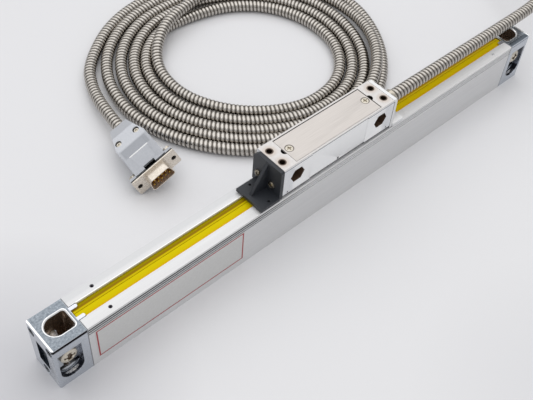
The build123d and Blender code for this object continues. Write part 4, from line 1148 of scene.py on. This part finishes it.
    def faces(self, places: np.ndarray) -> list[tuple[int, int, int, int]]:
        """Joins each ring to the next, and its last side to the first side one rib further on.

        Args:
            places: how far along the line each vertex lies.

        Returns:
            The faces, without those that have shrunk to nothing at either end.
        """
        rows = len(self.ridge)
        faces = []
        for ring in range(len(places) // self.sides - rows - 1):
            for side in range(self.sides):
                here = ring * self.sides + side
                following = here + 1 if side < self.sides - 1 else (ring + rows) * self.sides
                face = (here, following, following + self.sides, here + self.sides)
                if np.ptp(places[list(face)]) > 0.0:
                    faces.append(face)
        return faces

    def skin(self, path: np.ndarray, length: float) -> bpy.types.Mesh:
        """Builds the closed, ribbed tube.

        Args:
            path: points along the line.
            length: the line's length.

        Returns:
            The mesh, with the groove's depth as an attribute for the steel's painted shade.
        """
        verts, places, depths = self.rings(path, length)
        mesh = bpy.data.meshes.new(self.name)
        mesh.from_pydata([tuple(v) for v in verts], [], self.faces(places))
        groove = mesh.attributes.new(HOSE.attribute, "FLOAT", "POINT")
        groove.data.foreach_set("value", depths.astype(np.float32))
        shape = bmesh.new()
        shape.from_mesh(mesh)
        loose = [vert for vert in shape.verts if not vert.link_faces]
        bmesh.ops.delete(shape, geom=loose, context="VERTS")
        rims = [edge for edge in shape.edges if edge.is_boundary]
        bmesh.ops.holes_fill(shape, edges=rims, sides=0)
        bmesh.ops.recalc_face_normals(shape, faces=shape.faces)
        shape.to_mesh(mesh)
        shape.free()
        mesh.materials.append(self.dresser.stock(HOSE))
        mesh.shade_smooth()
        return mesh

    def build(self) -> None:
        path = self.smooth_line()
        length = float(np.linalg.norm(np.diff(path, axis=0), axis=1).sum())
        mesh = self.skin(path, length)
        hose = placed(self.name, mesh)
        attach(hose, self.dresser.body)
        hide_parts("hose_lead", "hose_coil", "hose_tail")
        LOG.info("%s: %.3f m, %d faces", self.name, length, len(mesh.polygons))


@dataclass
class Studio:
    """The pale floor, the soft lamp and the camera of the photograph."""

    eye: Triple = (-0.2549, -0.2062, 0.3770)
    turn_degrees: Triple = (40.06, -3.41, -42.19)
    lens_mm: float = 57.17
    sensor_mm: float = 36.0
    nearest: float = 0.01
    floor_reach: float = 3.0
    lamp_place: Triple = (0.1, 0.35, 1.7)
    lamp_side: float = 3.6
    lamp_watts: float = 33.0
    surroundings: str = "#F6F6F7"
    surroundings_strength: float = 0.60

    def camera(self) -> None:
        """Places the photograph's camera."""
        data = bpy.data.cameras.new("camera")
        data.lens = self.lens_mm
        data.sensor_width = self.sensor_mm
        data.clip_start = self.nearest
        turn = Euler([math.radians(a) for a in self.turn_degrees], "XYZ")
        camera = placed("camera", data)
        camera.location = self.eye
        camera.rotation_euler = turn
        bpy.context.scene.camera = camera

    def floor(self) -> None:
        """Lays a glossy white board under the part."""
        reach = self.floor_reach
        corners = [(-reach, -reach, 0), (reach, -reach, 0), (reach, reach, 0), (-reach, reach, 0)]
        mesh = bpy.data.meshes.new("floor")
        mesh.from_pydata(corners, [], [(0, 1, 2, 3)])
        mesh.materials.append(BOARD.material())
        floor = placed("floor", mesh)

    def lamp(self) -> None:
        """Hangs one soft square lamp that faces the part."""
        name = "softbox_above"
        data = bpy.data.lights.new(name, "AREA")
        data.size = self.lamp_side
        data.energy = self.lamp_watts
        lamp = placed(name, data)
        lamp.location = self.lamp_place
        lamp.rotation_euler = (-Vector(self.lamp_place)).to_track_quat("-Z", "Y").to_euler()

    def world(self) -> None:
        """Fills the surroundings with even pale light."""
        world = bpy.data.worlds.new("studio")
        world.use_nodes = True
        tree = world.node_tree
        background = tree.nodes["Background"]
        background.inputs["Color"].default_value = linear(self.surroundings)
        background.inputs["Strength"].default_value = self.surroundings_strength
        bpy.context.scene.world = world

    def build(self) -> None:
        """Sets up the whole studio."""
        self.camera()
        self.floor()
        self.world()
        self.lamp()
        bpy.context.scene.view_settings.view_transform = "Standard"


def main() -> None:
    """Builds the studio and dresses every sub-assembly."""
    logging.basicConfig(level=logging.INFO, format="%(message)s")
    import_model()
    made: dict[str, bpy.types.Material] = {}
    Studio().build()
    bar = Dresser("scale", made)
    head = Dresser("head", made)
    ScaleBar(bar).build()
    ReadingHead(head).build()
    Connector(head).build()
    ArmouredHose(head).build()


if __name__ == "__main__":
    main()
